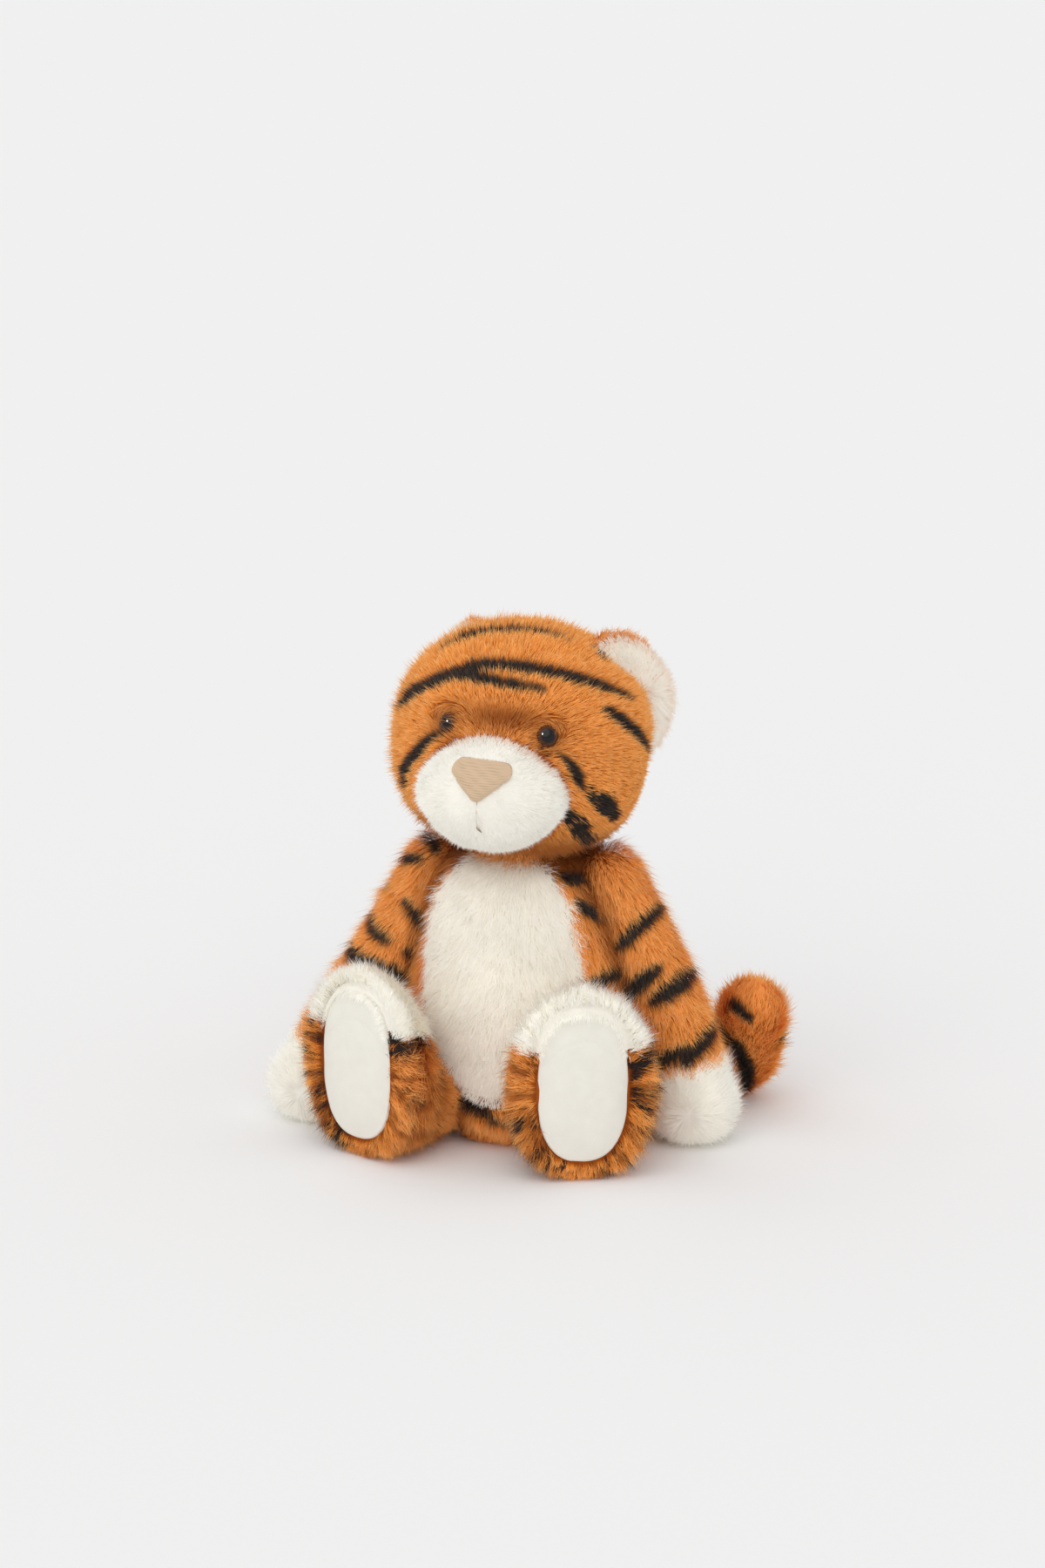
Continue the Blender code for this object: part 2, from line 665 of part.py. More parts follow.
def paw_place(side):
    spread = LEFT_PAW_SPREAD if side == LEFT else RIGHT_PAW_SPREAD
    forward = LEFT_PAW_FORWARD if side == LEFT else RIGHT_PAW_FORWARD
    out = SHOULDER_OUT_SHARE * TORSO_WIDTH + spread
    return np.array([side * out, -forward, PAW_RADIUS - FLOOR_SINK])


def arm_spine(side):
    """Places down the arm, bowed outwards, and the radius at each."""
    start, end = shoulder_place(side), paw_place(side)
    shares = np.linspace(0, 1, LIMB_RINGS + 2)
    out = np.cross(end - start, Y_AXIS)
    out *= side * np.sign(out[0]) / np.linalg.norm(out)
    bow = LEFT_ELBOW_BOW if side == LEFT else RIGHT_ELBOW_BOW
    spine = start + np.outer(shares, end - start) + np.outer(np.sin(math.pi * shares) * bow, out)
    radii = np.interp(shares, ARM_RADIUS_SHARES,
                      [SHOULDER_RADIUS, UPPER_ARM_RADIUS, WRIST_RADIUS, PAW_RADIUS])
    return spine, radii


def arm_axis(side):
    """The shoulder's axis: turning about it lifts the arm forwards and outwards."""
    lifted = np.array(LIFTED_ARM_SHARES) * (side, 1, 1)
    axis = np.cross(paw_place(side) - shoulder_place(side), lifted)
    return axis / np.linalg.norm(axis)


def shoulder_hollow(side):
    """The space that the arm fills beside the torso, hanging and in its swing."""
    spine, radii = arm_spine(side)
    axis = Vector(arm_axis(side))
    chains = [ball(spine[0], socket_radius(radii[0]))]
    for angle, step in ((0, 4), (0, 2), (ARM_LIFT / 2, 2), (ARM_LIFT, 2)):
        place = Matrix.Rotation(angle, 3, axis) @ Vector(spine[step] - spine[0])
        chains.append(ball(spine[0] + np.array(place), socket_radius(radii[step])))
    return hull_mesh(f"{SIDE_NAMES[side]}_shoulder_hollow", chains)


def make_arm(side, body, fur, white, stuffing, floor):
    spine, radii = arm_spine(side)
    name = SIDE_NAMES[side]
    root, outer, tip = capsule_rings(spine, radii, 0)
    _, inner, inner_tip = capsule_rings(spine, radii, CLOTH)
    filled_root, filled, filled_tip = capsule_rings(spine, radii, CLOTH + GAP + SLACK)
    seam = CAP_RINGS + round(PAW_SEAM_SHARE * (LIMB_RINGS + 1))
    arm_chain = outer[1:seam + 1] + inner[1:seam + 1][::-1]
    outer_seam = seam_gap(outer[seam], outer[seam + 1])
    inner_seam = seam_gap(inner[seam], inner[seam + 1])
    paw_chain = [outer_seam, *outer[seam + 1:], tip, inner_tip, *inner[:seam:-1], inner_seam]
    add_piece(f"{name}_arm_cover", arm_chain, fur, body)
    paw = add_piece(f"{name}_paw_cover", paw_chain, white, body)
    add_piece(f"{name}_arm_filling", [filled_root, *filled, filled_tip], stuffing, body)
    cut([paw], floor)


def hip_place(side):
    out = HIP_OUT_SHARE * TORSO_WIDTH
    return np.array([side * out, -HIP_FORWARD, HIP_RADIUS - FLOOR_SINK])


def hip_heading(side):
    """How far outwards the thigh points."""
    return LEFT_HIP_HEADING if side == LEFT else RIGHT_HIP_HEADING


def leg_section(share):
    """Half width and half height of the leg at a share of its length, without its sole."""
    growth = np.interp(share, *zip((0, 0), *FOOT_GROWTH_SHARES, (1, 1)))
    thigh = np.interp(share, [0, FOOT_GROWTH_SHARES[0][0]], [HIP_RADIUS, THIGH_RADIUS])
    half_width = thigh + (FOOT_WIDTH / 2 - thigh) * growth
    half_height = thigh + (FOOT_HEIGHT / 2 - thigh) * growth
    return half_width, half_height


def leg_ring(side, share, half_width, half_height, lift, shrink):
    """An upright oval across the leg, whose heading turns outwards towards the foot."""
    start = hip_heading(side)
    bend = FOOT_HEADING - start
    heading = start + bend * share
    radius = LEG_LENGTH / bend
    out = HIP_OUT_SHARE * TORSO_WIDTH + radius * (math.cos(start) - math.cos(heading))
    forward = HIP_FORWARD + radius * (math.sin(heading) - math.sin(start))
    across = np.array([math.cos(heading), side * math.sin(heading), 0])
    middle = (side * out, -forward, lift)
    return ring(middle, across, Z_AXIS, half_width - shrink, half_height - shrink, LIMB_SIDES)


def leg_rings(side, shrink):
    """Rings from behind the hip ball to the front rim, which frames the sole."""
    rings = []
    radius = HIP_RADIUS - shrink
    lift = HIP_RADIUS - FLOOR_SINK
    start = hip_heading(side)
    heading = np.array([side * math.sin(start), -math.cos(start), 0])
    across = np.array([math.cos(start), side * math.sin(start), 0])
    for step in range(1, CAP_RINGS + 1):
        angle = math.pi / 2 * step / (CAP_RINGS + 1)
        width = radius * math.sin(angle)
        middle = hip_place(side) - heading * radius * math.cos(angle)
        rings.append(ring(middle, across, Z_AXIS, width, width, LIMB_SIDES))
    thigh_share = FOOT_GROWTH_SHARES[0][0]
    for share in (0, thigh_share / 2, *[row[0] for row in FOOT_GROWTH_SHARES]):
        half_width, half_height = leg_section(share)
        middle_height = half_height - FLOOR_SINK
        rings.append(leg_ring(side, share, half_width, half_height, middle_height, shrink))
    middle_height = FOOT_HEIGHT / 2 + SOLE_RISE - FLOOR_SINK
    sole_height = SOLE_HEIGHT_SHARE * FOOT_HEIGHT
    rim = CLOTH + GAP
    for share, left in ((FOOT_EDGE_SHARE, CLOTH), (1, 0)):
        rings.append(leg_ring(side, share, SOLE_WIDTH / 2 + rim + left,
                              sole_height / 2 + rim + left / 2, middle_height, shrink))
    root = point(hip_place(side) - heading * radius)
    return root, rings


def make_leg(side, body, fur, white, velour, stuffing, floor):
    name = SIDE_NAMES[side]
    _, outer = leg_rings(side, 0)
    _, inner = leg_rings(side, CLOTH)
    root, filled = leg_rings(side, CLOTH + GAP + SLACK)
    cover_chain = outer[1:] + inner[:0:-1]
    cover = add_piece(f"{name}_leg_cover", cover_chain, fur, body)
    toes = add_piece(f"{name}_toe_cover", cover_chain, white, body)

    reach = LEG_LENGTH + TORSO_WIDTH + FOOT_WIDTH
    toe_seam = TOE_SEAM_SHARE * FOOT_HEIGHT
    top = FOOT_HEIGHT + OVERRUN
    for piece, height, operation in ((cover, toe_seam, "DIFFERENCE"),
                                     (toes, toe_seam + GAP, "INTERSECT")):
        label = f"{piece.name}_zone"
        chain = box_chain((-reach, -2 * reach, height), (reach, reach, top))
        combine(piece, add_cutter(label, make_mesh(label, chain)), operation)

    middle_height = FOOT_HEIGHT / 2 + SOLE_RISE - FLOOR_SINK
    heading = np.array([side * math.sin(FOOT_HEADING), -math.cos(FOOT_HEADING), 0])

    def sole_ring(share, forward):
        oval = leg_ring(side, 1, SOLE_WIDTH / 2 * share,
                        SOLE_HEIGHT_SHARE * FOOT_HEIGHT / 2 * share, middle_height, 0)
        return oval + heading * forward

    back = sole_ring(1, -CLOTH)
    front = sole_ring(0.6, SOLE_BULGE)
    sole = [point(back.mean(axis=0)), back, sole_ring(1, 0), sole_ring(0.86, 2 * SOLE_BULGE / 3),
            front, point(front.mean(axis=0) + heading * SOLE_BULGE / 5)]
    add_piece(f"{name}_sole", sole, velour, body)

    end = filled[-1] - heading * (CLOTH + GAP)
    filling = add_piece(f"{name}_leg_filling",
                        [root, *filled[:-2], end, point(end.mean(axis=0))], stuffing, body)
    cut([cover], floor)


def tail_spine():
    """Places along the tail: out of the torso's back, along the floor and up in a curl."""
    along = TAIL_RADIUS - FLOOR_SINK
    rows = [(TAIL_ROOT_OUT, TAIL_ROOT_BEHIND, TAIL_ROOT_HEIGHT),
            (TAIL_BEND_OUT, TAIL_BEND_BEHIND, along),
            (TAIL_CURL_OUT, TAIL_CURL_BEHIND, along),
            (TAIL_TIP_OUT, TAIL_TIP_BEHIND, TAIL_TIP_HEIGHT)]
    spine = smooth_rows(rows, TAIL_RINGS)
    spine[:, 2] = np.maximum(spine[:, 2], along)
    return spine


def tail_place():
    return np.array([TAIL_ROOT_OUT, TAIL_ROOT_BEHIND, TAIL_ROOT_HEIGHT])


def tail_directions():
    """The level ways that the tail's root points in its swing."""
    spine = tail_spine()
    way = Vector((spine[1] - spine[0]) * (1, 1, 0)).normalized()
    for angle in (TAIL_FORWARD, 0, TAIL_BACK / 3, 2 * TAIL_BACK / 3, TAIL_BACK):
        yield Matrix.Rotation(angle, 3, "Z") @ way


def make_tail(body, fur, stuffing, floor):
    spine = tail_spine()
    radii = np.interp(np.linspace(0, 1, len(spine)), TAIL_RADIUS_SHARES,
                      [TAIL_ROOT_RADIUS, TAIL_WAIST_RADIUS, TAIL_RADIUS, TAIL_RADIUS,
                       TAIL_TIP_RADIUS])
    _, outer, tip = capsule_rings(spine, radii, 0)
    _, inner, inner_tip = capsule_rings(spine, radii, CLOTH)
    filled_root, filled, filled_tip = capsule_rings(spine, radii, CLOTH + GAP + SLACK)
    cover = add_piece("tail_cover", [*outer[1:], tip, inner_tip, *inner[:0:-1]], fur, body)
    add_piece("tail_filling", [filled_root, *filled, filled_tip], stuffing, body)
    cut([cover], floor)


def swept_mesh(name, middle, radius, directions, reach):
    """The hollow that lets a limb of this radius point along any of the directions."""
    chains = [ball(middle, socket_radius(radius))]
    chains += [ball(np.asarray(middle) + np.asarray(way) * reach, socket_radius(radius))
               for way in directions]
    return hull_mesh(name, chains)


def leg_directions(side):
    """Straight ahead, lifted and hanging, square to the hip's own axis."""
    start = hip_heading(side)
    for angle in (LEG_LIFT, 0, -LEG_DROP):
        level = math.cos(angle)
        yield (side * math.sin(start) * level, -math.cos(start) * level, math.sin(angle))


def main():
    for item in list(bpy.data.objects):
        bpy.data.objects.remove(item, do_unlink=True)

    fur = make_material("orange_plush", "C8702A", 0.95)
    cream = make_material("cream_plush", "EDE8DA", 0.95)
    white = make_material("white_plush", "F5F3EC", 0.95)
    velour = make_material("cream_velour", "EFEDE4", 0.85)
    nose_cloth = make_material("beige_velour", "C9B29A", 0.85)
    thread = make_material("dark_thread", "4A3A30", 0.70)
    gloss = make_material("dark_bead", "1C120D", 0.08)
    plastic = make_material("white_plastic", "E8E8E4", 0.40)
    stuffing = make_material("stuffing", "F2F2F0", 1.00)
    sack = make_material("pouch_cloth", "DAD4C6", 0.90)

    torso = add_body("torso_body", (0, 0, 0))
    neck = add_body("neck_body", neck_place())
    head = add_body("head_body", neck_place())
    tail = add_body("tail_body", tail_place())

    reach = 2 * (TORSO_WIDTH + RIGHT_PAW_SPREAD)
    floor = add_cutter("floor", make_mesh("floor", box_chain((-reach, -reach, -OVERRUN),
                                                             (reach, reach, 0))))
    neck_ball = add_cutter("neck_hollow", make_mesh(
        "neck_hollow", ball(neck_place(), socket_radius(NECK_RADIUS))))
    sockets = [add_cutter("tail_hollow", swept_mesh(
        "tail_hollow", tail_place(), TAIL_ROOT_RADIUS, tail_directions(), TAIL_ROOT_RADIUS))]
    for side in (LEFT, RIGHT):
        shoulder = add_body(f"{SIDE_NAMES[side]}_arm_body", shoulder_place(side))
        hip = add_body(f"{SIDE_NAMES[side]}_leg_body", hip_place(side))
        make_arm(side, shoulder, fur, white, stuffing, floor)
        make_leg(side, hip, fur, white, velour, stuffing, floor)
        sockets.append(add_cutter(f"{SIDE_NAMES[side]}_shoulder_hollow", shoulder_hollow(side)))
        label = f"{SIDE_NAMES[side]}_hip_hollow"
        sockets.append(add_cutter(label, swept_mesh(
            label, hip_place(side), HIP_RADIUS, leg_directions(side), LEG_LENGTH)))

    make_torso(torso, fur, cream, stuffing, sack, floor, sockets, neck_ball)
    add_piece("neck_filling", turned_ball(neck_place(), NECK_RADIUS), stuffing, neck)
    make_head(head, fur, white, nose_cloth, thread, gloss, plastic, stuffing, neck_ball)
    make_tail(tail, fur, stuffing, floor)


main()
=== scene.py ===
"""A seated plush tiger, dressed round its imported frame: pile fabric, velour, thread and beads.

Laid out as an add-on. The main function registers the classes and makes every piece in order.
Lengths are metres. The toy looks along -Y, its own left is +X, and the floor is Z = 0.
"""
import json
import math

import bpy
import numpy as np
from bpy.props import FloatProperty, FloatVectorProperty, IntProperty, PointerProperty
from mathutils import Matrix, Vector


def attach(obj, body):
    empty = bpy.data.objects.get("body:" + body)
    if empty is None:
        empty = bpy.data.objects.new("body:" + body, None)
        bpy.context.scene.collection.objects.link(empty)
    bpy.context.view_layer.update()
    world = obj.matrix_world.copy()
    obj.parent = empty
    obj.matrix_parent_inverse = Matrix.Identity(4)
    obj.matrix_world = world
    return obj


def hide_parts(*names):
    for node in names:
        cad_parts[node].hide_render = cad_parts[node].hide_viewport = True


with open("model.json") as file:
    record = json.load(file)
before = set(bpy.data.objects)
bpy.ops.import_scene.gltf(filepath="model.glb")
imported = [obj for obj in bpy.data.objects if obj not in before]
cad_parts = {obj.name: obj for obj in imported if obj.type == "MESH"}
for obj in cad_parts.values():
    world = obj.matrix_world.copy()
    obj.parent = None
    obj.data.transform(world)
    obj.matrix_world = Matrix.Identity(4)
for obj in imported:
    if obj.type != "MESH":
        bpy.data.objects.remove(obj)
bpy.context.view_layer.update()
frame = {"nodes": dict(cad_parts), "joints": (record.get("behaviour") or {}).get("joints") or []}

bl_info = {
    "name": "Plush Tiger",
    "version": (1, 0, 0),
    "blender": (4, 5, 0),
    "location": "3D View > Sidebar > Plush Tiger",
    "description": "Makes a seated plush tiger with real pile, stripes, soles, nose and bead eyes",
    "category": "Object",
}

X_AXIS = np.array([1.0, 0.0, 0.0])
Y_AXIS = np.array([0.0, 1.0, 0.0])
Z_AXIS = np.array([0.0, 0.0, 1.0])
LEFT, RIGHT = 1, -1
SIDE_NAMES = {LEFT: "left", RIGHT: "right"}
JOINTS = {joint["name"]: joint for joint in frame["joints"]}


# Colours and properties

def linear(hex_colour):
    """sRGB hex to linear light: each channel is divided by 12.92 or raised to 2.4."""
    channels = [int(hex_colour[i:i + 2], 16) / 255 for i in (0, 2, 4)]
    return tuple(c / 12.92 if c <= 0.04045 else ((c + 0.055) / 1.055) ** 2.4 for c in channels)


def length(name, text, default):
    return FloatProperty(name=name, description=text, default=default, min=0.0,
                         unit="LENGTH", precision=4)


def colour(name, text, hex_colour):
    return FloatVectorProperty(name=name, description=text, default=linear(hex_colour),
                               size=3, min=0.0, max=1.0, subtype="COLOR")


class PlushForms(bpy.types.PropertyGroup):
    """Sizes of the forms under the pile."""

    inset: length("Skin inset", "How deep the backing cloth lies under the solid's surface", 0.0012)
    torso_height: length("Torso height", "From the seat to the neck opening", 0.148)
    torso_width: length("Torso width", "Across the widest part of the torso", 0.130)
    torso_depth: length("Torso depth", "From belly to back", 0.102)
    torso_lean: length("Torso lean", "How far the shoulders sit in front of the seat", 0.009)
    panel_width: length("Panel width", "Across the belly panel", 0.078)
    panel_height: length("Panel height", "From top to bottom of the belly panel", 0.126)
    panel_middle: length("Panel middle", "Height of the belly panel's middle", 0.087)
    head_width: length("Head width", "From cheek to cheek", 0.126)
    head_depth: length("Head depth", "From face to back of the head", 0.112)
    head_height: length("Head height", "From chin to crown", 0.110)
    muzzle_width: length("Muzzle width", "Across the muzzle", 0.070)
    muzzle_height: length("Muzzle height", "From top to bottom of the muzzle", 0.055)
    muzzle_length: length("Muzzle length", "Along the muzzle's whole egg", 0.062)
    ear_length: length("Ear length", "Along the ear's seam with the head", 0.070)
    ear_reach: length("Ear reach", "Outwards from that seam", 0.028)
    foot_width: length("Foot width", "Across the foot", 0.066)
    foot_height: length("Foot height", "From heel to toes", 0.0945)
    sole_width: length("Sole width", "Across the velour sole", 0.044)
    sole_height: length("Sole height", "From end to end of the velour sole", 0.075)
    eye_width: length("Eye width", "Across the bead eye", 0.011)


class PlushPile(bpy.types.PropertyGroup):
    """Lengths and density of the pile."""

    strand_width: length("Strand width", "Width of one lock of fibres half way up", 0.00031)
    density: FloatProperty(name="Density", description="Locks on a square millimetre of cloth",
                           default=3.1, min=0.05, max=8.0)
    body: length("Body pile", "Length of the pile on torso, arms and head", 0.0106)
    face: length("Face pile", "Length of the pile round the muzzle and eyes", 0.0062)
    belly: length("Belly pile", "Length of the pile on the belly panel", 0.0094)
    muzzle: length("Muzzle pile", "Length of the pile on the muzzle", 0.0054)
    foot: length("Foot pile", "Length of the tufty pile on heel and tail", 0.0106)
    paw: length("Paw pile", "Length of the pile on paws and toes", 0.0096)
    ear: length("Ear pile", "Length of the pile on both sides of the ears", 0.0056)
    seed: IntProperty(name="Seed", description="Starts every random draw", default=20)


class PlushColours(bpy.types.PropertyGroup):
    """Colours of the fibres and trims."""

    # Each root tone is darker partly as painted shade between the locks, and each tip tone is
    # lighter partly as painted light on the sunlit ends.
    orange_root: colour("Orange root", "Orange pile near the cloth", "A05218")
    orange: colour("Orange", "Orange pile half way up", "E89036")
    orange_tip: colour("Orange tip", "Sunlit ends of the orange pile", "FFC680")
    stripe_root: colour("Stripe root", "Dark pile near the cloth", "1A1614")
    stripe: colour("Stripe", "Dark pile half way up", "2C2725")
    stripe_tip: colour("Stripe tip", "Ends of the dark pile", "574A40")
    white_root: colour("White root", "White pile near the cloth", "F9F6EE")
    white: colour("White", "White pile", "FBF8EE")
    cream_root: colour("Cream root", "Cream belly pile near the cloth", "F5EFE1")
    cream: colour("Cream", "Cream belly pile", "FAF5EA")
    velour: colour("Sole velour", "Smooth short velour of the soles", "ECE9DF")
    nose: colour("Nose velour", "Ribbed velour of the nose", "D9BC9C")
    thread: colour("Thread", "Mouth stitch", "8F7A64")


# Meshes

# a pile piece's skin takes the UV square up to the first height, its locks from the second
SKIN_SHARE, LOCKS_START = 0.24, 0.25


def make_object(name, points, quads, tris, material, uvs, attributes, normals=None):
    """A mesh object from whole arrays: points, faces of four and faces of three."""
    mesh = bpy.data.meshes.new(name)
    corners = np.concatenate([np.ravel(quads), np.ravel(tris)]).astype(np.int32)
    sizes = np.concatenate([np.full(len(quads), 4), np.full(len(tris), 3)])
    starts = np.concatenate([[0], np.cumsum(sizes)[:-1]]).astype(np.int32)
    mesh.vertices.add(len(points))
    mesh.vertices.foreach_set("co", np.ascontiguousarray(points, np.float32).ravel())
    mesh.loops.add(len(corners))
    mesh.loops.foreach_set("vertex_index", corners)
    mesh.polygons.add(len(sizes))
    mesh.polygons.foreach_set("loop_start", starts)
    layer = mesh.uv_layers.new(name="OFBake")
    layer.uv.foreach_set("vector", np.ascontiguousarray(uvs, np.float32).ravel())
    mesh.update(calc_edges=True)
    mesh.shade_smooth()
    for key, values in attributes:
        layer = mesh.attributes.new(key, "FLOAT", "POINT")
        layer.data.foreach_set("value", np.ascontiguousarray(values, np.float32))
    mesh.materials.append(material)
    if normals is not None:
        mesh.normals_split_custom_set_from_vertices(normals.tolist())
    item = bpy.data.objects.new(name, mesh)
    bpy.context.scene.collection.objects.link(item)
    return item


def grid_quads(rows, columns):
    """Corner numbers of the quads of a grid whose columns close into rings."""
    row, column = np.meshgrid(np.arange(rows - 1), np.arange(columns), indexing="ij")
    following = (column + 1) % columns
    corners = [row * columns + column, row * columns + following,
               (row + 1) * columns + following, (row + 1) * columns + column]
    return np.stack([part.ravel() for part in corners], axis=1)


def make_grid(name, surface, material, attributes=()):
    """A mesh object from one grid of points, whose columns close into rings."""
    rows, columns = surface.shape[:2]
    quads = grid_quads(rows, columns)
    uvs = skin_uvs(rows, columns, quads) * [1, 1 / LOCKS_START]
    return make_object(name, surface.reshape(-1, 3), quads, np.zeros((0, 3), int), material,
                       uvs, attributes)


def grid_normals(surface):
    """Outward normals of a grid: the cross product of its steps round and along."""
    around = np.roll(surface, -1, axis=1) - np.roll(surface, 1, axis=1)
    along = np.gradient(surface, axis=0)
    normals = np.cross(around, along)
    size = np.linalg.norm(normals, axis=2, keepdims=True)
    # At a pole the ring has no width, so its normal is that of the ring beside it.
    for pole, beside in ((0, 1), (-1, -2)):
        if size[pole].max() < 1e-12 + 1e-3 * size[beside].max():
            normals[pole] = normals[beside].mean(axis=0)
            size[pole] = np.linalg.norm(normals[pole], axis=1, keepdims=True)
    return normals / np.maximum(size, 1e-15)


def smooth_rows(rows, count):
    """Catmull-Rom curve through rows of numbers, read at count even steps."""
    rows = np.asarray(rows, float)
    ends = np.vstack([2 * rows[0] - rows[1], rows, 2 * rows[-1] - rows[-2]])
    place = np.linspace(0, len(rows) - 1, count)
    first = np.minimum(place.astype(int), len(rows) - 2)
    t = (place - first)[:, None]
    a, b, c, d = (ends[first + step] for step in range(4))
    return 0.5 * (2 * b + (c - a) * t + (2 * a - 5 * b + 4 * c - d) * t**2
                  + (3 * b - a - 3 * c + d) * t**3)


def unit(vectors):
    """The vectors at a length of 1."""
    vectors = np.asarray(vectors, float)
    return vectors / np.maximum(np.linalg.norm(vectors, axis=-1, keepdims=True), 1e-12)


def tangent(direction, normals):
    """The part of a direction that lies in the surface, as unit vectors."""
    return unit(direction - normals * np.sum(direction * normals, axis=1, keepdims=True))


def placed(points, matrix):
    """Points turned and moved by a matrix."""
    return points @ np.array(matrix.to_3x3()).T + np.array(matrix.translation)


def smooth_step(values, low, high):
    """0 up to low and 1 from high on, with a smooth rise between them."""
    share = np.clip((values - low) / (high - low), 0, 1)
    return share * share * (3 - 2 * share)


def growing(values, low, high, least, most=1.0):
    """From least, where the values are low, smoothly up to most, where they are high."""
    return least + (most - least) * smooth_step(values, low, high)


def bell(away, width):
    """1 at no distance, falling off as a bell curve of this width."""
    return np.exp(-(away / width) ** 2)


def wave_noise(points, wavelength, seed, waves=7):
    """Smooth noise from -1 to 1: a mean of sine waves that run in random directions."""
    draw = np.random.default_rng(seed)
    ways = unit(draw.normal(size=(waves, 3))) * (2 * math.pi / wavelength)
    ways *= draw.uniform(0.7, 1.4, (waves, 1))
    return np.sin(points @ ways.T + draw.uniform(0, 2 * math.pi, waves)).mean(axis=1) * 1.8


def wave_vectors(points, wavelength, seed):
    """Smooth noise in each of three directions."""
    return np.column_stack([wave_noise(points, wavelength, seed + step) for step in range(3)])


# Pile

# how far the pile's direction drifts: wavelength and amount of its long and short waves
LONG_DRIFT, SHORT_DRIFT = (0.026, 0.34), (0.009, 0.30)
# how much one lock differs from the next in length, lean in degrees, roll and width
LENGTH_WAVE, LENGTH_RANGE = (0.012, 0.12), (0.72, 1.14)
LEAN_SPREAD, ROLL_SPREAD, WIDTH_RANGE = 9, 20, (0.7, 1.25)
# locks that stray are longer, finer and stand up more, by this many degrees
STRAY_SHARE, STRAY_LENGTH, STRAY_WIDTH, STRAY_RISE = 0.16, 1.26, 0.7, 15
# how unlike the clumps pull, what of the pull the middle of a lock takes, and the tips' droop
PULL_RANGE, MIDDLE_PULL, DROOP = (0.3, 1.3), 0.35, 0.05
# a lock as long as this or longer has its full width, and the shortest has a share of it
FULL_LENGTH, LEAST_WIDTH = 0.006, 0.6
# no lock goes below this height
FLOOR_GAP = 0.00015


def quad_areas(surface):
    """The area of each quad of a grid: half of the cross products of its two triangles."""
    following = np.roll(surface, -1, axis=1)
    first = np.cross(following[:-1] - surface[:-1], surface[1:] - surface[:-1])
    second = np.cross(following[1:] - following[:-1], following[1:] - surface[1:])
    return (np.linalg.norm(first, axis=2) + np.linalg.norm(second, axis=2)) / 2


def kept_quads(surface, keep):
    """1 for each quad of a grid that keep wants, and for its neighbours."""
    middles = (surface[:-1] + surface[1:]) / 2
    middles = (middles + np.roll(middles, -1, axis=1)) / 2
    wanted = keep(middles.reshape(-1, 3)).reshape(middles.shape[:2])
    wider = wanted | np.roll(wanted, 1, axis=1) | np.roll(wanted, -1, axis=1)
    wider[1:] |= wanted[:-1]
    wider[:-1] |= wanted[1:]
    return wider


def scatter(surface, density, draw, weight):
    """Random places on a grid: density times weight of them on each unit of its area."""
    total = np.cumsum((quad_areas(surface) * weight).ravel())
    count = int(total[-1] * density)
    picked = np.searchsorted(total, draw.uniform(0, total[-1], count))
    picked = np.minimum(picked, len(total) - 1)
    row, column = np.divmod(picked, surface.shape[1])
    s, t = draw.uniform(0, 1, (2, count, 1))
    after = (column + 1) % surface.shape[1]

    def read(grid):
        low = grid[row, column] * (1 - t) + grid[row, after] * t
        high = grid[row + 1, column] * (1 - t) + grid[row + 1, after] * t
        return low * (1 - s) + high * s

    return read


def clump(points, size, seed):
    """The mean place of the points that share each cell of a warped lattice."""
    warped = points + wave_vectors(points, size * 2.6, seed) * size * 0.45
    cells = np.floor(warped / size).astype(np.int64)
    # Three large primes make one key of a cell's three numbers.
    keys = (cells[:, 0] * 73856093) ^ (cells[:, 1] * 19349663) ^ (cells[:, 2] * 83492791)
    _, member, counts = np.unique(keys, return_inverse=True, return_counts=True)
    middles = np.column_stack([np.bincount(member, points[:, axis]) for axis in range(3)])
    return (middles / counts[:, None])[member], member


# locks of the other colour lean over a stripe's edges, so it is dyed this much wider
STRIPE_SPREAD = 1.22


def stripe_amount(points, lines, soft=0.0012):
    """How dark the pile is: 1 inside a stripe's half width from its line, 0 outside."""
    amount = np.zeros(len(points))
    ragged = wave_noise(points, 0.006, 5)
    for places, widths in lines:
        places = np.asarray(places, float)
        widths = np.interp(np.linspace(0, 1, len(places)), np.linspace(0, 1, len(widths)), widths)
        for step in range(len(places) - 1):
            start, way = places[step], places[step + 1] - places[step]
            along = np.clip((points - start) @ way / max(way @ way, 1e-12), 0, 1)
            away = np.linalg.norm(points - start - along[:, None] * way, axis=1)
            half = widths[step] + (widths[step + 1] - widths[step]) * along
            half = half * (STRIPE_SPREAD + 0.08 * ragged)
            amount = np.maximum(amount, 1 - smooth_step(away, half - soft, half + soft))
    return amount


def everywhere(points):
    """Every place is kept, and the pile has its full length there."""
    return np.ones(len(points), bool)


def untinted(points):
    """No place has a tint."""
    return np.zeros(len(points))


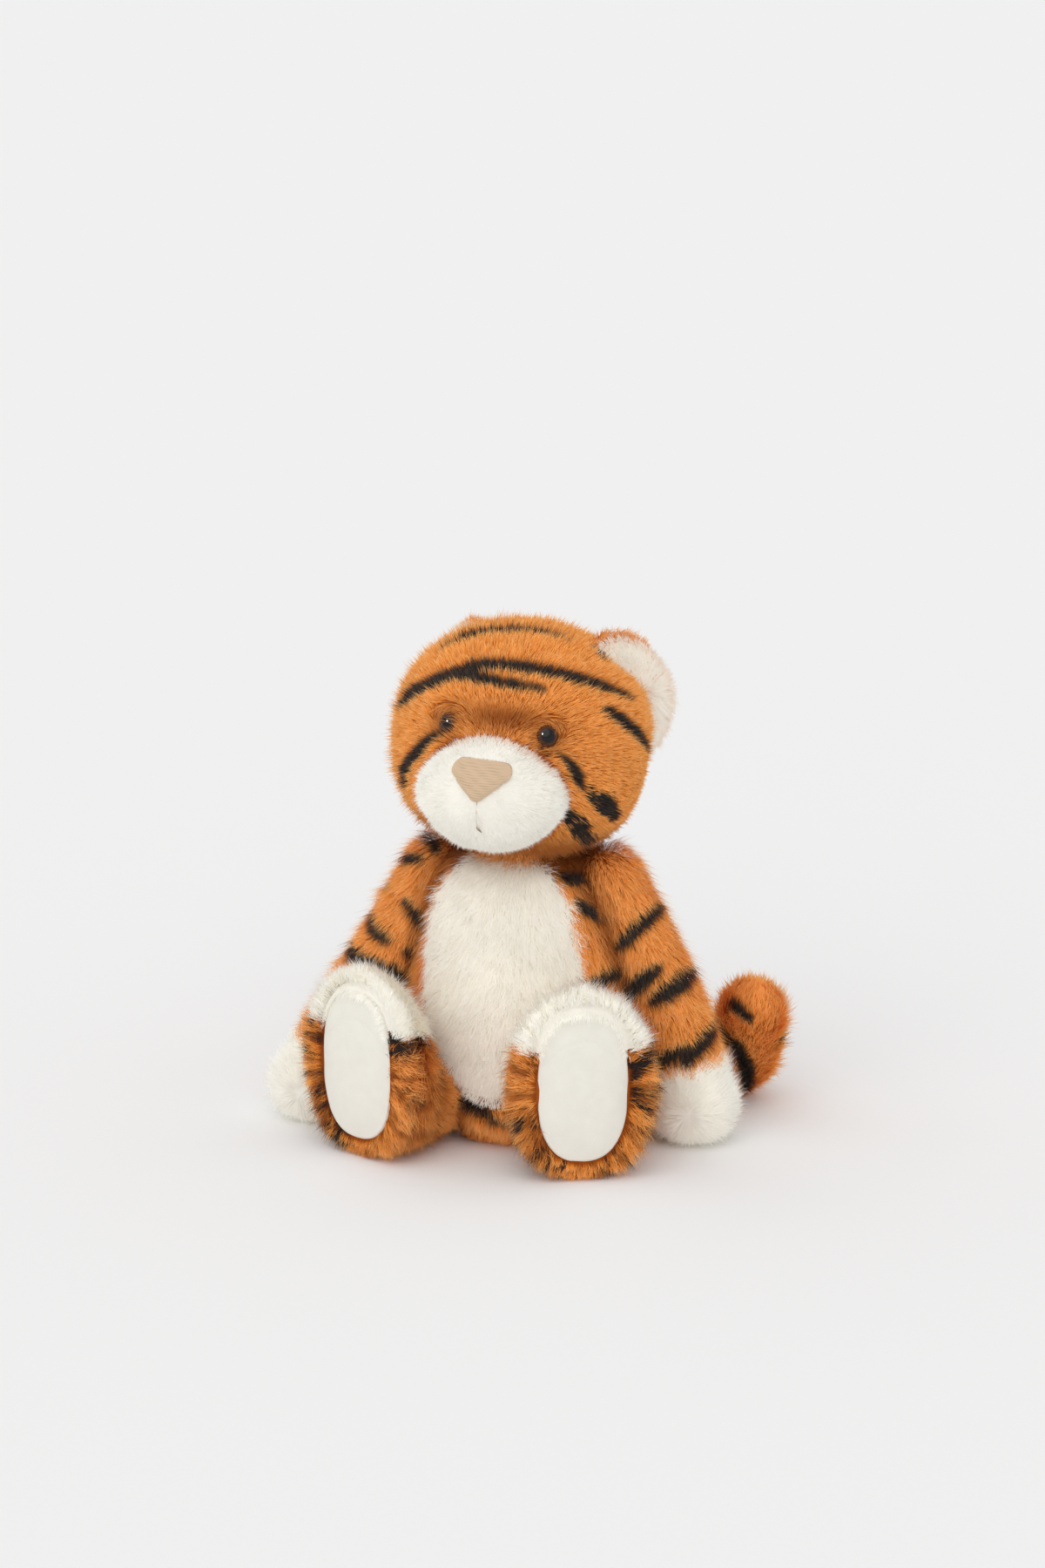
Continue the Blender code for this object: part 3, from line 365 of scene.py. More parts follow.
def plush(name, surface, material, seed, pile, comb, keep=everywhere, scale=everywhere,
          lines=(), density=1.0, lean=(40, 70), wild=0.19, swirl=0.9, clumps=0.0030,
          pull=0.32, tint=untinted, dark=None):
    """Pile fabric: a skin with a slim kite of two faces for each lock of fibres.

    A lock starts on the skin and rises at the first lean angle from the outward normal for
    half its length, where it is widest, then bends over to the second in the direction of
    the comb. Locks that share a clump draw their tips together. comb, keep, scale, tint and
    dark are functions of the places of the roots, keep drops the locks of a neighbouring
    piece, and lines are the stripes.
    """
    setting = bpy.context.scene.plush_pile
    draw = np.random.default_rng(setting.seed + seed)
    locks = setting.density * 1e6 * density * 1.0
    normals = grid_normals(surface)
    used = kept_quads(surface, keep)
    read = scatter(surface, locks, draw, used)
    root, normal = read(surface), unit(read(normals))
    kept = keep(root)
    root, normal = root[kept], normal[kept]
    count = len(root)
    chance = draw.uniform(0, 1, count)

    way = tangent(comb(root, normal), normal)
    drift = sum(wave_vectors(root, wavelength, seed + step) * amount
                for step, (wavelength, amount) in ((0, LONG_DRIFT), (50, SHORT_DRIFT)))
    way = tangent(way + drift * swirl + draw.normal(0, wild, (count, 3)), normal)
    wavelength, amount = LENGTH_WAVE
    size = pile * (1 + amount * wave_noise(root, wavelength, seed + 9))
    size = size * draw.uniform(*LENGTH_RANGE, count) * scale(root)
    size = size[:, None]
    stray = draw.uniform(0, 1, (count, 1)) < STRAY_SHARE
    size = size * np.where(stray, STRAY_LENGTH, 1.0)
    angles = np.radians(np.array(lean)[None, :] + draw.normal(0, LEAN_SPREAD, (count, 1))
                        - STRAY_RISE * stray)
    first = normal * np.cos(angles[:, :1]) + way * np.sin(angles[:, :1])
    second = normal * np.cos(angles[:, 1:]) + way * np.sin(angles[:, 1:])
    middle = root + first * size * 0.5
    tip = middle + second * size * 0.5
    centre, member = clump(root, clumps, seed)
    swell = draw.uniform(*PULL_RANGE, member.max() + 1)[member][:, None]
    towards = centre - root
    middle = middle + towards * pull * MIDDLE_PULL * swell
    tip = tip + towards * pull * swell
    tip[:, 2] -= size[:, 0] * DROOP
    tint_draw = draw.uniform(0, 1, member.max() + 1)[member]

    across = unit(np.cross(first, normal))
    roll = np.radians(draw.uniform(-ROLL_SPREAD, ROLL_SPREAD, (count, 1)))
    across = across * np.cos(roll) + np.cross(first, across) * np.sin(roll)
    width = setting.strand_width * draw.uniform(*WIDTH_RANGE, (count, 1)) / 2
    width = width * 1.0
    width = width * np.clip(size / FULL_LENGTH, LEAST_WIDTH, 1.0)
    width = width * np.where(stray, STRAY_WIDTH, 1.0)
    blades = np.stack([root, middle - across * width, middle + across * width, tip], axis=1)
    blades[:, :, 2] = np.maximum(blades[:, :, 2], FLOOR_GAP)

    rows, columns = surface.shape[:2]
    skin_quads = grid_quads(rows, columns)[used.ravel()]
    flat = surface.reshape(-1, 3)
    faces, shading, outward = blade_faces(blades, normal, len(flat))
    points = np.concatenate([flat, blades.reshape(-1, 3)])
    all_normals = np.concatenate([normals.reshape(-1, 3), np.repeat(shading, 4, axis=0)])
    # The skin and the roots take the root tone, which is partly painted shade; the tips take the
    # tip tone, which is partly painted light.
    along = np.concatenate([np.zeros(len(flat)), np.tile([0.0, 0.5, 0.5, 1.0], count)])
    # What the eye sees of a lock is its upper part, moved along the cloth by its lean.
    shift = (tip - root) * 0.55
    seen = root + shift - normal * np.sum(shift * normal, axis=1, keepdims=True)

    def both(read_at):
        """A number for each point of the skin and of the locks."""
        return np.concatenate([read_at(flat), np.repeat(read_at(seen), 4)])

    def darkness(places, draws):
        """Stripes, and where dark gives a share of dark tufts, the tufts drawn below it."""
        amount = stripe_amount(places, lines)
        if dark is None:
            return amount
        return np.maximum(amount, smooth_step(dark(places) - draws, -0.05, 0.05))

    mixed = chance * 0.6 + tint_draw * 0.4
    stripe = np.concatenate([darkness(flat, 0.5),
                             np.repeat(darkness(seen, chance * 0.35 + tint_draw * 0.65), 4)])
    # The accent tint is painted shade where parts meet, in folds and under the chin, and a real
    # rosy or tan tint on other pieces.
    attributes = [("along", along), ("stripe", stripe), ("accent_and_shade", both(tint)),
                  ("chance", np.concatenate([np.full(len(flat), 0.5), np.repeat(mixed, 4)]))]

    uvs = np.concatenate([skin_uvs(rows, columns, skin_quads), blade_uvs(count, outward)])
    return make_object(name, points, skin_quads, faces, material, uvs, attributes, all_normals)


def blade_faces(blades, normal, base):
    """Two faces for each kite, turned to the side that the skin's normal is on."""
    order = base + 4 * np.arange(len(blades))[:, None]
    face = np.cross(blades[:, 2] - blades[:, 0], blades[:, 1] - blades[:, 0])
    outward = np.sum(face * normal, axis=1) > 0
    low = np.where(outward[:, None], order + [0, 2, 1], order + [0, 1, 2])
    high = np.where(outward[:, None], order + [1, 2, 3], order + [2, 1, 3])
    face = unit(face) * np.where(outward, 1, -1)[:, None]
    # A lock is shaded mostly as the cloth under it, so that a coat of them looks soft.
    shading = unit(normal * 0.80 + face * 0.20)
    return np.concatenate([low, high]), shading, outward


def skin_uvs(rows, columns, quads):
    """The skin's grid laid in the lowest part of the square."""
    row, column = np.divmod(quads, columns)
    last = column.max(axis=1, keepdims=True) == columns - 1
    column = np.where((column == 0) & last, columns, column)
    return np.stack([column / columns, row / (rows - 1) * SKIN_SHARE], axis=2).reshape(-1, 2)


def blade_uvs(count, outward):
    """Each kite in its own cell of the rest of the square."""
    room = 1 - LOCKS_START
    across = max(1, math.ceil(math.sqrt(count / room)))
    down = max(1, math.ceil(count / across))
    row, column = np.divmod(np.arange(count), across)
    cell = np.array([1 / across, room / down])
    corner = np.column_stack([column, row]) * cell + [0, LOCKS_START]
    kite = np.array([[0.5, 0.1], [0.2, 0.5], [0.8, 0.5], [0.5, 0.9]])
    flags = outward[:, None, None]
    low = corner[:, None] + np.where(flags, kite[[0, 2, 1]], kite[[0, 1, 2]]) * cell
    high = corner[:, None] + np.where(flags, kite[[1, 2, 3]], kite[[2, 1, 3]]) * cell
    return np.concatenate([low.reshape(-1, 2), high.reshape(-1, 2)])


# Materials

def node(tree, kind, links=(), **settings):
    """Adds a node. Numbers, colours and words set it; links are (socket, output) pairs."""
    made = tree.nodes.new(kind)
    for key, value in settings.items():
        setattr(made, key, value)
    for socket, value in links:
        if isinstance(value, bpy.types.NodeSocket):
            tree.links.new(value, made.inputs[socket])
        else:
            made.inputs[socket].default_value = value
    return made


def new_material(name):
    material = bpy.data.materials.new(name)
    material.use_nodes = True
    return material, material.node_tree


def set_surface(tree, base, roughness, specular=0.5, sheen=0.0, sheen_roughness=0.5):
    """Links the base colour to the shader and sets the constants on its own sockets."""
    shader = tree.nodes["Principled BSDF"]
    tree.links.new(base, shader.inputs["Base Color"])
    for socket, value in (("Roughness", roughness), ("Specular IOR Level", specular),
                          ("Sheen Weight", sheen), ("Sheen Roughness", sheen_roughness)):
        shader.inputs[socket].default_value = value
    return shader


def solid(tone):
    return (*tone, 1.0)


def flat_tone(hex_colour):
    return solid(linear(hex_colour))


def shaded(tone, amount):
    """A tone made darker by a factor."""
    return solid(tuple(channel * amount for channel in tone))


def ramp(tree, factor, stops):
    """A colour ramp through (place, colour) stops."""
    made = node(tree, "ShaderNodeValToRGB", [("Fac", factor)])
    elements = made.color_ramp.elements
    while len(elements) < len(stops):
        elements.new(0.5)
    for element, (place, tone) in zip(elements, stops):
        element.position = place
        element.color = solid(tone)
    return made.outputs["Color"]


def mix(tree, factor, first, second):
    """A mix of two colours: the node's colour sockets are its inputs 6 and 7 and output 2."""
    return node(tree, "ShaderNodeMix", [(0, factor), (6, first), (7, second)],
                data_type="RGBA").outputs[2]


def attribute(tree, name):
    return node(tree, "ShaderNodeAttribute", attribute_name=name).outputs["Fac"]


def noise(tree, size, detail=2.0):
    """Noise over the object's own metres; size is how wide its patches are."""
    place = node(tree, "ShaderNodeTexCoord").outputs["Object"]
    made = node(tree, "ShaderNodeTexNoise",
                [("Vector", place), ("Scale", 1 / size), ("Detail", detail)])
    return made.outputs["Fac"]


def scaled(tree, value, low, high):
    return node(tree, "ShaderNodeMapRange",
                [("Value", value), ("To Min", low), ("To Max", high)]).outputs["Result"]


def pile_material(name, root, middle, tip, accent, spread):
    """Pile dark towards the roots, partly its own colour and partly painted shade between the
    locks, and lighter at their ends, partly painted light on the sunlit tips; each lock a little
    different.
    """
    tones = bpy.context.scene.plush_colours
    material, tree = new_material(name)
    along = attribute(tree, "along")
    # Here and in the stripe's ramp below: painted shade at the root and painted light at the tip,
    # over the pile's own tones.
    base = ramp(tree, along, [(0.0, root), (0.5, middle), (1.0, tip)])
    # The accent mixed in here is painted shade on some pieces and a real tint on others.
    base = mix(tree, attribute(tree, "accent_and_shade"), base, solid(accent))
    dark = ramp(tree, along, [(0.0, tones.stripe_root), (0.6, tones.stripe),
                              (1.0, tones.stripe_tip)])
    base = mix(tree, attribute(tree, "stripe"), base, dark)
    each = scaled(tree, attribute(tree, "chance"), *spread)
    wide = scaled(tree, noise(tree, 0.022), 0.93, 1.07)
    both = node(tree, "ShaderNodeMath", [(0, each), (1, wide)], operation="MULTIPLY")
    value = node(tree, "ShaderNodeHueSaturation", [("Color", base),
                                                   ("Value", both.outputs["Value"])])
    # Fibres scatter light softly and keep only a faint sheen.
    shader = set_surface(tree, value.outputs["Color"], 0.78, 0.10, 0.02, 0.45)
    # A lock is thin, so that from beneath it shows the light that strikes its other side.
    side = node(tree, "ShaderNodeNewGeometry").outputs["Backfacing"]
    through = node(tree, "ShaderNodeBsdfTranslucent", [("Color", value.outputs["Color"])])
    either = node(tree, "ShaderNodeMixShader", [(0, side), (1, shader.outputs["BSDF"]),
                                                (2, through.outputs["BSDF"])])
    tree.links.new(either.outputs["Shader"], tree.nodes["Material Output"].inputs["Surface"])
    return material


def velour_material(name, tone, rib=0.0):
    """Short shaved velour: a fine grain of fibre ends, with ribs across it where asked."""
    material, tree = new_material(name)
    fine = noise(tree, 0.0006, 3.0)
    patches = scaled(tree, noise(tree, 0.006), 0.0, 0.25)
    base = mix(tree, patches, solid(tone), shaded(tone, 0.72))
    if rib:
        # Each furrow between two ribs lies in shade.
        base = mix(tree, attribute(tree, "rib"), base, shaded(tone, rib))
    bump = node(tree, "ShaderNodeBump", [("Height", fine), ("Strength", 0.35),
                                         ("Distance", 0.0003)])
    shader = set_surface(tree, base, 0.9, 0.15, 0.35, 0.4)
    tree.links.new(bump.outputs["Normal"], shader.inputs["Normal"])
    return material


def thread_material():
    """Twisted mouth thread: grey-beige in the parting, partly its own colour and partly painted
    shade of the seam, brown at its knotted end.
    """
    tones = bpy.context.scene.plush_colours
    material, tree = new_material("mouth thread")
    place = node(tree, "ShaderNodeTexCoord").outputs["Object"]
    twist = node(tree, "ShaderNodeTexWave", [("Vector", place), ("Scale", 700.0),
                                             ("Distortion", 0.0)], bands_direction="DIAGONAL")
    # The pale grey-beige is partly painted shade of the seam's parting.
    pale = mix(tree, twist.outputs["Fac"], flat_tone("C9BBA6"), flat_tone("DDD2C2"))
    base = mix(tree, attribute(tree, "knot"), pale, solid(tones.thread))
    set_surface(tree, base, 0.7)
    return material


def bead_material():
    """Polished eye bead: a black pupil in a dark brown iris under clear lacquer."""
    material, tree = new_material("polished eye bead")
    depth = attribute(tree, "iris")
    base = ramp(tree, depth, [(0.0, linear("070403")), (0.40, linear("0A0504")),
                              (0.48, linear("35180A")), (0.80, linear("5A2E14")),
                              (1.0, linear("1C0E08"))])
    set_surface(tree, base, 0.06, 0.34)
    return material


def plastic_material():
    """Moulded washer plastic: plain milky white with a slight mottle, hidden in the head."""
    material, tree = new_material("moulded white plastic")
    base = mix(tree, noise(tree, 0.004), flat_tone("E8E8E4"), flat_tone("DEDED8"))
    set_surface(tree, base, 0.45)
    return material


def plush_finish(name, root, middle, tip, accent, spread):
    """One pile material for all the pieces of a colour."""
    key = f"{name} plush pile"
    return (bpy.data.materials.get(key)
            or pile_material(key, root, middle, tip, linear(accent), spread))


def orange_pile():
    tones = bpy.context.scene.plush_colours
    # Its accent 934A17 is painted shade where parts meet and in folds, and also the real brown of
    # the feet's tan patches.
    return plush_finish("orange", tones.orange_root, tones.orange, tones.orange_tip, "934A17",
                        (0.84, 1.14))


def white_pile():
    tones = bpy.context.scene.plush_colours
    return plush_finish("white", tones.white_root, tones.white, linear("FDFBF4"), "E9BFA0",
                        (0.93, 1.05))


def cream_pile():
    tones = bpy.context.scene.plush_colours
    return plush_finish("cream", tones.cream_root, tones.cream, linear("FDFAF3"), "E6C4A8",
                        (0.92, 1.05))


# Forms under the pile

# height, width, depth and lean of the torso, from the seat to the neck
TORSO_ROWS = [
    (0.00, 0.76, 0.76, 0.00), (0.06, 0.92, 0.92, 0.00), (0.22, 1.00, 1.00, 0.00),
    (0.45, 0.97, 0.98, 0.10), (0.68, 0.86, 0.89, 0.45), (0.86, 0.73, 0.77, 0.80),
    (0.96, 0.60, 0.62, 0.95), (1.00, 0.42, 0.46, 1.00),
]
FLOOR_SINK = 0.0005
PANEL_POWER = 2.5
PANEL_ASIDE = -0.0025
NECK_RADIUS = 0.0185
HEAD_RISE, HEAD_FORWARD, HEAD_ASIDE = 0.057, 0.004, -0.0025
HEAD_ROLL = math.radians(4.0)
CHEEK_POWER, CROWN_POWER, MUZZLE_POWER = 2.7, 2.1, 2.3
MUZZLE_FORWARD, MUZZLE_DROP = 0.050, 0.018
LEFT_JOWL = (0.058, -0.014, 0.186)
NOSE_WIDTH, NOSE_HEIGHT, NOSE_CORNER, NOSE_DROP = 0.030, 0.0175, 0.004, 0.0065
EYE_PLACES = {LEFT: (0.0255, 0.014), RIGHT: (-0.0255, 0.014)}
EYE_CLEAR = {LEFT: 0.0040, RIGHT: 0.0026}
EYE_VEIL = {LEFT: 2.0, RIGHT: 3.4}
EYE_RING, EYE_RING_WIDTH = 0.0060, 0.0036
# the painted shade of the fold over the bridge, in the head's own frame: its middle and half its
# size
BROW_SHADE_MIDDLE, BROW_SHADE_SIZE = (0.004, -0.052, 0.0195), (0.024, 0.014, 0.0055)
EAR_PLACES = {LEFT: (0.0445, 0.012, 0.020), RIGHT: (0.038, 0.030, 0.014)}
EAR_YAWS, EAR_LEAN = {LEFT: 50.0, RIGHT: 62.0}, -20.0
ARM_ENDS = {LEFT: (0.091, -0.008, 0.019), RIGHT: (-0.109, -0.026, 0.019)}
ARM_BOWS = {LEFT: 0.006, RIGHT: 0.001}
ARM_RADII = ((0.00, 0.0175), (0.25, 0.0150), (0.70, 0.0165), (1.00, 0.0195))
PAW_SEAM = 0.82
LEG_LENGTH = 0.063
HIP_HEADINGS = {LEFT: -7.0, RIGHT: 20.0}
FOOT_HEADING = 24.0
# share along the leg, and how much of the foot's swell is reached there
LEG_GROWTH = ((0.0, 0.0), (0.46, 0.05), (0.58, 0.38), (0.68, 0.78), (0.78, 0.97), (0.88, 1.0))
THIGH_RADII = (0.0250, 0.0235)
THIGH_END, ROUNDING_START, LAST_RING = 0.46, 0.86, 0.955
# rings at the sole, which closes the foot: share along the leg, and share of the rim's size
SOLE_RINGS = ((0.985, 1.0), (1.0, 0.985), (1.0, 0.93), (1.0, 0.88), (1.0, 0.0))
SOLE_RIM = 0.0030
LEG_RINGS, LEG_COLUMNS, LIMB_COLUMNS, CAP_RINGS = 46, 64, 56, 9
TORSO_RINGS, TORSO_COLUMNS = 66, 128
ARM_RINGS, TAIL_RINGS = 44, 60
TOE_SEAM = 0.066
SOLE_RISE, SOLE_BULGE, SOLE_POWER = 0.0020, 0.0032, 2.5
TAIL_ROWS = ((0.008, 0.054, 0.024), (0.054, 0.078, 0.016), (0.092, 0.068, 0.016),
             (0.107, 0.054, 0.050))
TAIL_RADII = ((0.00, 0.0155), (0.20, 0.0135), (0.45, 0.0165), (0.80, 0.0165), (1.00, 0.0155))


def ring_grid(middles, across, upward, half_across, half_upward, columns):
    """One oval ring for each row: middle + across * half * cos + upward * half * sin."""
    turn = np.arange(columns) * (2 * math.pi / columns)
    wide = np.cos(turn)[None, :, None] * np.asarray(half_across)[:, None, None]
    high = np.sin(turn)[None, :, None] * np.asarray(half_upward)[:, None, None]
    return middles[:, None] + across[:, None] * wide + upward[:, None] * high


def capsule(spine, radii):
    """A round tube along a spine, closed by half balls."""
    ways = unit(np.gradient(spine, axis=0))
    across = unit(Y_AXIS - ways * (ways @ Y_AXIS)[:, None])
    upward = np.cross(ways, across)
    angle = np.linspace(0, math.pi / 2, CAP_RINGS, endpoint=False)
    order = np.concatenate([np.zeros(CAP_RINGS, int), np.arange(len(spine)),
                            np.full(CAP_RINGS, len(spine) - 1)])
    slide = np.concatenate([-np.cos(angle), np.zeros(len(spine)), np.cos(angle[::-1])])
    width = np.concatenate([np.sin(angle), np.ones(len(spine)), np.sin(angle[::-1])])
    middles = spine[order] + ways[order] * (slide * radii[order])[:, None]
    half = width * radii[order]
    return ring_grid(middles, across[order], upward[order], half, half, LIMB_COLUMNS)


def settled(surface):
    """A form pressed flat where it would pass through the floor."""
    surface[:, :, 2] = np.maximum(surface[:, :, 2], 0.0002)
    return surface


def eased(rows, count):
    """Numbers between (share, number) rows at count even shares, with rounded corners."""
    places, values = np.array(rows).T
    line = np.interp(np.linspace(-0.06, 1.06, count + 12), places, values)
    return np.convolve(line, np.ones(13) / 13, mode="valid")


def closed(surface):
    """The grid with a pole at each end, reached through rings that shrink to it."""
    ends = []
    for edge in (surface[0], surface[-1]):
        middle = edge.mean(axis=0)
        ends.append(np.stack([middle + (edge - middle) * share
                              for share in (0.0, 0.3, 0.6, 0.85, 0.95)]))
    return np.concatenate([ends[0], surface, ends[1][::-1]])


def swing(points, joint_name, degrees):
    """Points turned about a joint's axis."""
    joint = JOINTS[joint_name]
    turn = np.array(Matrix.Rotation(math.radians(degrees), 3, Vector(joint["axis"])))
    middle = np.array(joint["pos_m"])
    return (points - middle) @ turn.T + middle


def joint_place(joint_name):
    return np.array(JOINTS[joint_name]["pos_m"])


def head_halves(inset=0.0):
    """Half the head's width, depth and height, less the inset."""
    forms = bpy.context.scene.plush_forms
    return [size / 2 - inset for size in (forms.head_width, forms.head_depth, forms.head_height)]


def muzzle_halves(inset=0.0):
    """Half the muzzle's width, height and length, less the inset."""
    forms = bpy.context.scene.plush_forms
    sizes = (forms.muzzle_width, forms.muzzle_height, forms.muzzle_length)
    return [size / 2 - inset for size in sizes]


def arm_spine(side):
    """Places down the arm, bowed outwards by a half sine, and the radius at each."""
    start, end = joint_place(f"{SIDE_NAMES[side]}_arm_lift"), np.array(ARM_ENDS[side])
    shares = np.linspace(0, 1, ARM_RINGS)
    out = np.cross(end - start, Y_AXIS)
    out = unit(out * side * np.sign(out[0]))
    bow = np.outer(np.sin(math.pi * shares) * ARM_BOWS[side], out)
    return start + np.outer(shares, end - start) + bow, eased(ARM_RADII, ARM_RINGS)


def tail_spine():
    """Places along the tail, kept above the floor, and the radius at each."""
    spine = smooth_rows(TAIL_ROWS, TAIL_RINGS)
    radii = eased(TAIL_RADII, TAIL_RINGS)
    spine[:, 2] = np.maximum(spine[:, 2], radii - FLOOR_SINK)
    return spine, radii


def leg_frame(side, shares):
    """The leg's middle line, a level arc: its places, the ways across it and its headings."""
    start = math.radians(HIP_HEADINGS[side])
    heading = start + (math.radians(FOOT_HEADING) - start) * shares
    radius = LEG_LENGTH / (math.radians(FOOT_HEADING) - start)
    hip = joint_place(f"{SIDE_NAMES[side]}_leg_swing")
    out = abs(hip[0]) + radius * (math.cos(start) - np.cos(heading))
    forward = -hip[1] + radius * (np.sin(heading) - math.sin(start))
    flat = np.zeros(len(shares))
    across = np.column_stack([np.cos(heading), side * np.sin(heading), flat])
    ahead = np.column_stack([side * np.sin(heading), -np.cos(heading), flat])
    return np.column_stack([side * out, -forward, flat]), across, ahead


def leg_surface(side):
    """Ball at the hip, thigh, ankle dip, swelling foot, then in to the rim of the sole."""
    forms = bpy.context.scene.plush_forms
    shares = np.linspace(0, LAST_RING, LEG_RINGS)
    growth = np.interp(shares, *np.array(LEG_GROWTH).T)
    growth = np.convolve(np.pad(growth, 2, mode="edge"), np.ones(5) / 5, mode="valid")
    thigh = np.interp(shares, [0, THIGH_END], THIGH_RADII)
    wide = thigh + (forms.foot_width / 2 - thigh) * growth
    high = thigh + (forms.foot_height / 2 - thigh) * growth
    # The last part rounds over to the sole's rim.
    rim_wide, rim_high = forms.sole_width / 2 + SOLE_RIM, forms.sole_height / 2 + SOLE_RIM
    over = np.clip((shares - ROUNDING_START) / (1 - ROUNDING_START), 0, 1)
    bend = 1 - np.sqrt(1 - over**2)
    wide = wide - (wide - rim_wide) * bend
    lift = high - FLOOR_SINK
    rim_lift = forms.foot_height / 2 + SOLE_RISE - FLOOR_SINK
    lift = lift + (rim_lift - lift) * bend
    high = high - (high - rim_high) * bend
    # A half ball closes the hip's end, and the sole's rings close the foot.
    angle = np.linspace(0, math.pi / 2, CAP_RINGS, endpoint=False)
    radius = THIGH_RADII[0]
    end_shares, ends = np.array(SOLE_RINGS).T
    shares = np.concatenate([np.zeros(CAP_RINGS), shares, end_shares])
    slide = np.concatenate([-radius * np.cos(angle), np.zeros(LEG_RINGS + len(ends))])
    wide = np.concatenate([radius * np.sin(angle), wide, ends * rim_wide])
    high = np.concatenate([radius * np.sin(angle), high, ends * rim_high])
    lift = np.concatenate([np.full(CAP_RINGS, radius - FLOOR_SINK), lift,
                           np.full(len(ends), rim_lift)])
    middles, across, ahead = leg_frame(side, shares)
    middles = middles + ahead * slide[:, None] + lift[:, None] * Z_AXIS
    upward = np.tile(Z_AXIS, (len(shares), 1))
    wide, high = (np.maximum(half - forms.inset, 0) for half in (wide, high))
    return settled(ring_grid(middles, across, upward, wide, high, LEG_COLUMNS))


def torso_rings():
    """The middles of the torso's rings and half their widths and depths."""
    forms = bpy.context.scene.plush_forms
    inset = forms.inset
    height, width, depth, lean = smooth_rows(TORSO_ROWS, TORSO_RINGS).T
    middles = np.column_stack([np.zeros(TORSO_RINGS), -lean * forms.torso_lean,
                               height * forms.torso_height - FLOOR_SINK])
    return middles, width * forms.torso_width / 2 - inset, depth * forms.torso_depth / 2 - inset


# degrees at which the torso's hollows follow each joint, from one limit to the other
ARM_TURNS, LEG_TURNS, TAIL_TURNS = (0, 15, 30, 45, 60), (-45, -30, -15, 0, 6), (-8, 20, 45, 75, 105)


def limb_spheres():
    """Places and radii of balls along the limbs in each part of their swing."""
    places, radii = [], []
    for side in (LEFT, RIGHT):
        name = SIDE_NAMES[side]
        spine, sizes = arm_spine(side)
        for angle in ARM_TURNS:
            # The upper half of the arm, and a little more of it where it hangs.
            chosen = slice(0, 24, 2) if angle == 0 else slice(0, 20, 2)
            places.append(swing(spine[chosen], f"{name}_arm_lift", angle))
            radii.append(sizes[chosen])
        shares = np.linspace(0, 0.5, 6)
        middle = leg_frame(side, shares)[0]
        middle = middle + (THIGH_RADII[0] - FLOOR_SINK) * Z_AXIS
        for angle in LEG_TURNS:
            places.append(swing(middle, f"{name}_leg_swing", angle))
            radii.append(np.interp(shares, [0, 0.5], THIGH_RADII))
    spine, sizes = tail_spine()
    for angle in TAIL_TURNS:
        places.append(swing(spine[0:14:2], "tail_swing", angle))
        radii.append(sizes[0:14:2])
    return np.concatenate(places), np.concatenate(radii)


def hollowed(surface, middles, places, radii):
    """The form with a hollow for each ball: every spoke from its middle stops at a ball."""
    spokes = surface - middles[:, None]
    reach = np.ones(surface.shape[:2])
    for place, radius in zip(places, radii):
        away = middles[:, None] - place
        a = np.sum(spokes**2, axis=2)
        b = np.sum(spokes * away, axis=2)
        c = np.sum(away**2, axis=2) - radius**2
        inside = b**2 - a * c
        first = (-b - np.sqrt(np.maximum(inside, 0))) / np.maximum(a, 1e-12)
        reach = np.where((inside > 0) & (first > 0), np.minimum(reach, first), reach)
    for _ in range(2):
        near = (np.roll(reach, 1, axis=1) + np.roll(reach, -1, axis=1) + 2 * reach) / 4
        reach = np.minimum(reach, near)
    return middles[:, None] + spokes * np.maximum(reach, 0.15)[:, :, None]


def torso_surface():
    """The torso's rings with a hollow where each limb swings, closed at both ends."""
    middles, wide, deep = torso_rings()
    across, ahead = (np.tile(axis, (TORSO_RINGS, 1)) for axis in (X_AXIS, Y_AXIS))
    plain = ring_grid(middles, across, ahead, wide, deep, TORSO_COLUMNS)
    places, radii = limb_spheres()
    return settled(closed(hollowed(plain, middles, places, radii + 0.0006)))


def inside_torso(points, grow):
    """Whether places lie in the torso's plain form, made larger all round by grow."""
    middles, wide, deep = torso_rings()
    height = points[:, 2]
    wide = np.interp(height, middles[:, 2], wide, left=0.001, right=0.001) + grow
    deep = np.interp(height, middles[:, 2], deep, left=0.001, right=0.001) + grow
    lean = np.interp(height, middles[:, 2], middles[:, 1])
    return (points[:, 0] / wide)**2 + ((points[:, 1] - lean) / deep)**2 < 1


def head_matrix():
    rise = Matrix.Translation((HEAD_ASIDE, -HEAD_FORWARD, HEAD_RISE))
    neck = Vector(JOINTS["head_turn"]["pos_m"])
    return Matrix.Translation(neck) @ Matrix.Rotation(HEAD_ROLL, 4, "Y") @ rise


def muzzle_matrix():
    forward = Matrix.Rotation(math.radians(90), 4, "X")
    shift = Matrix.Translation((0, -MUZZLE_FORWARD, -MUZZLE_DROP))
    return head_matrix() @ shift @ forward


def egg(half_width, half_depth, half_height, low_power, high_power, rows, columns):
    """A superellipsoid along Z: width and height to the power add up to one."""
    angle = np.linspace(0, math.pi, rows)
    power = np.where(angle < math.pi / 2, low_power, high_power)
    height = -np.sign(np.cos(angle)) * np.abs(np.cos(angle)) ** (2 / power) * half_height
    width = np.abs(np.sin(angle)) ** (2 / power)
    middles = np.outer(height, Z_AXIS)
    return ring_grid(middles, np.tile(X_AXIS, (rows, 1)), np.tile(Y_AXIS, (rows, 1)),
                     width * half_width, width * half_depth, columns)


def inside_egg(points, matrix, halves, powers, grow):
    own = placed(points, matrix.inverted())
    x, y, z = (own[:, axis] / (halves[axis] + grow) for axis in range(3))
    power = np.where(z < 0, powers[0], powers[1])
    return (x**2 + y**2) ** (power / 2) + np.abs(z) ** power < 1


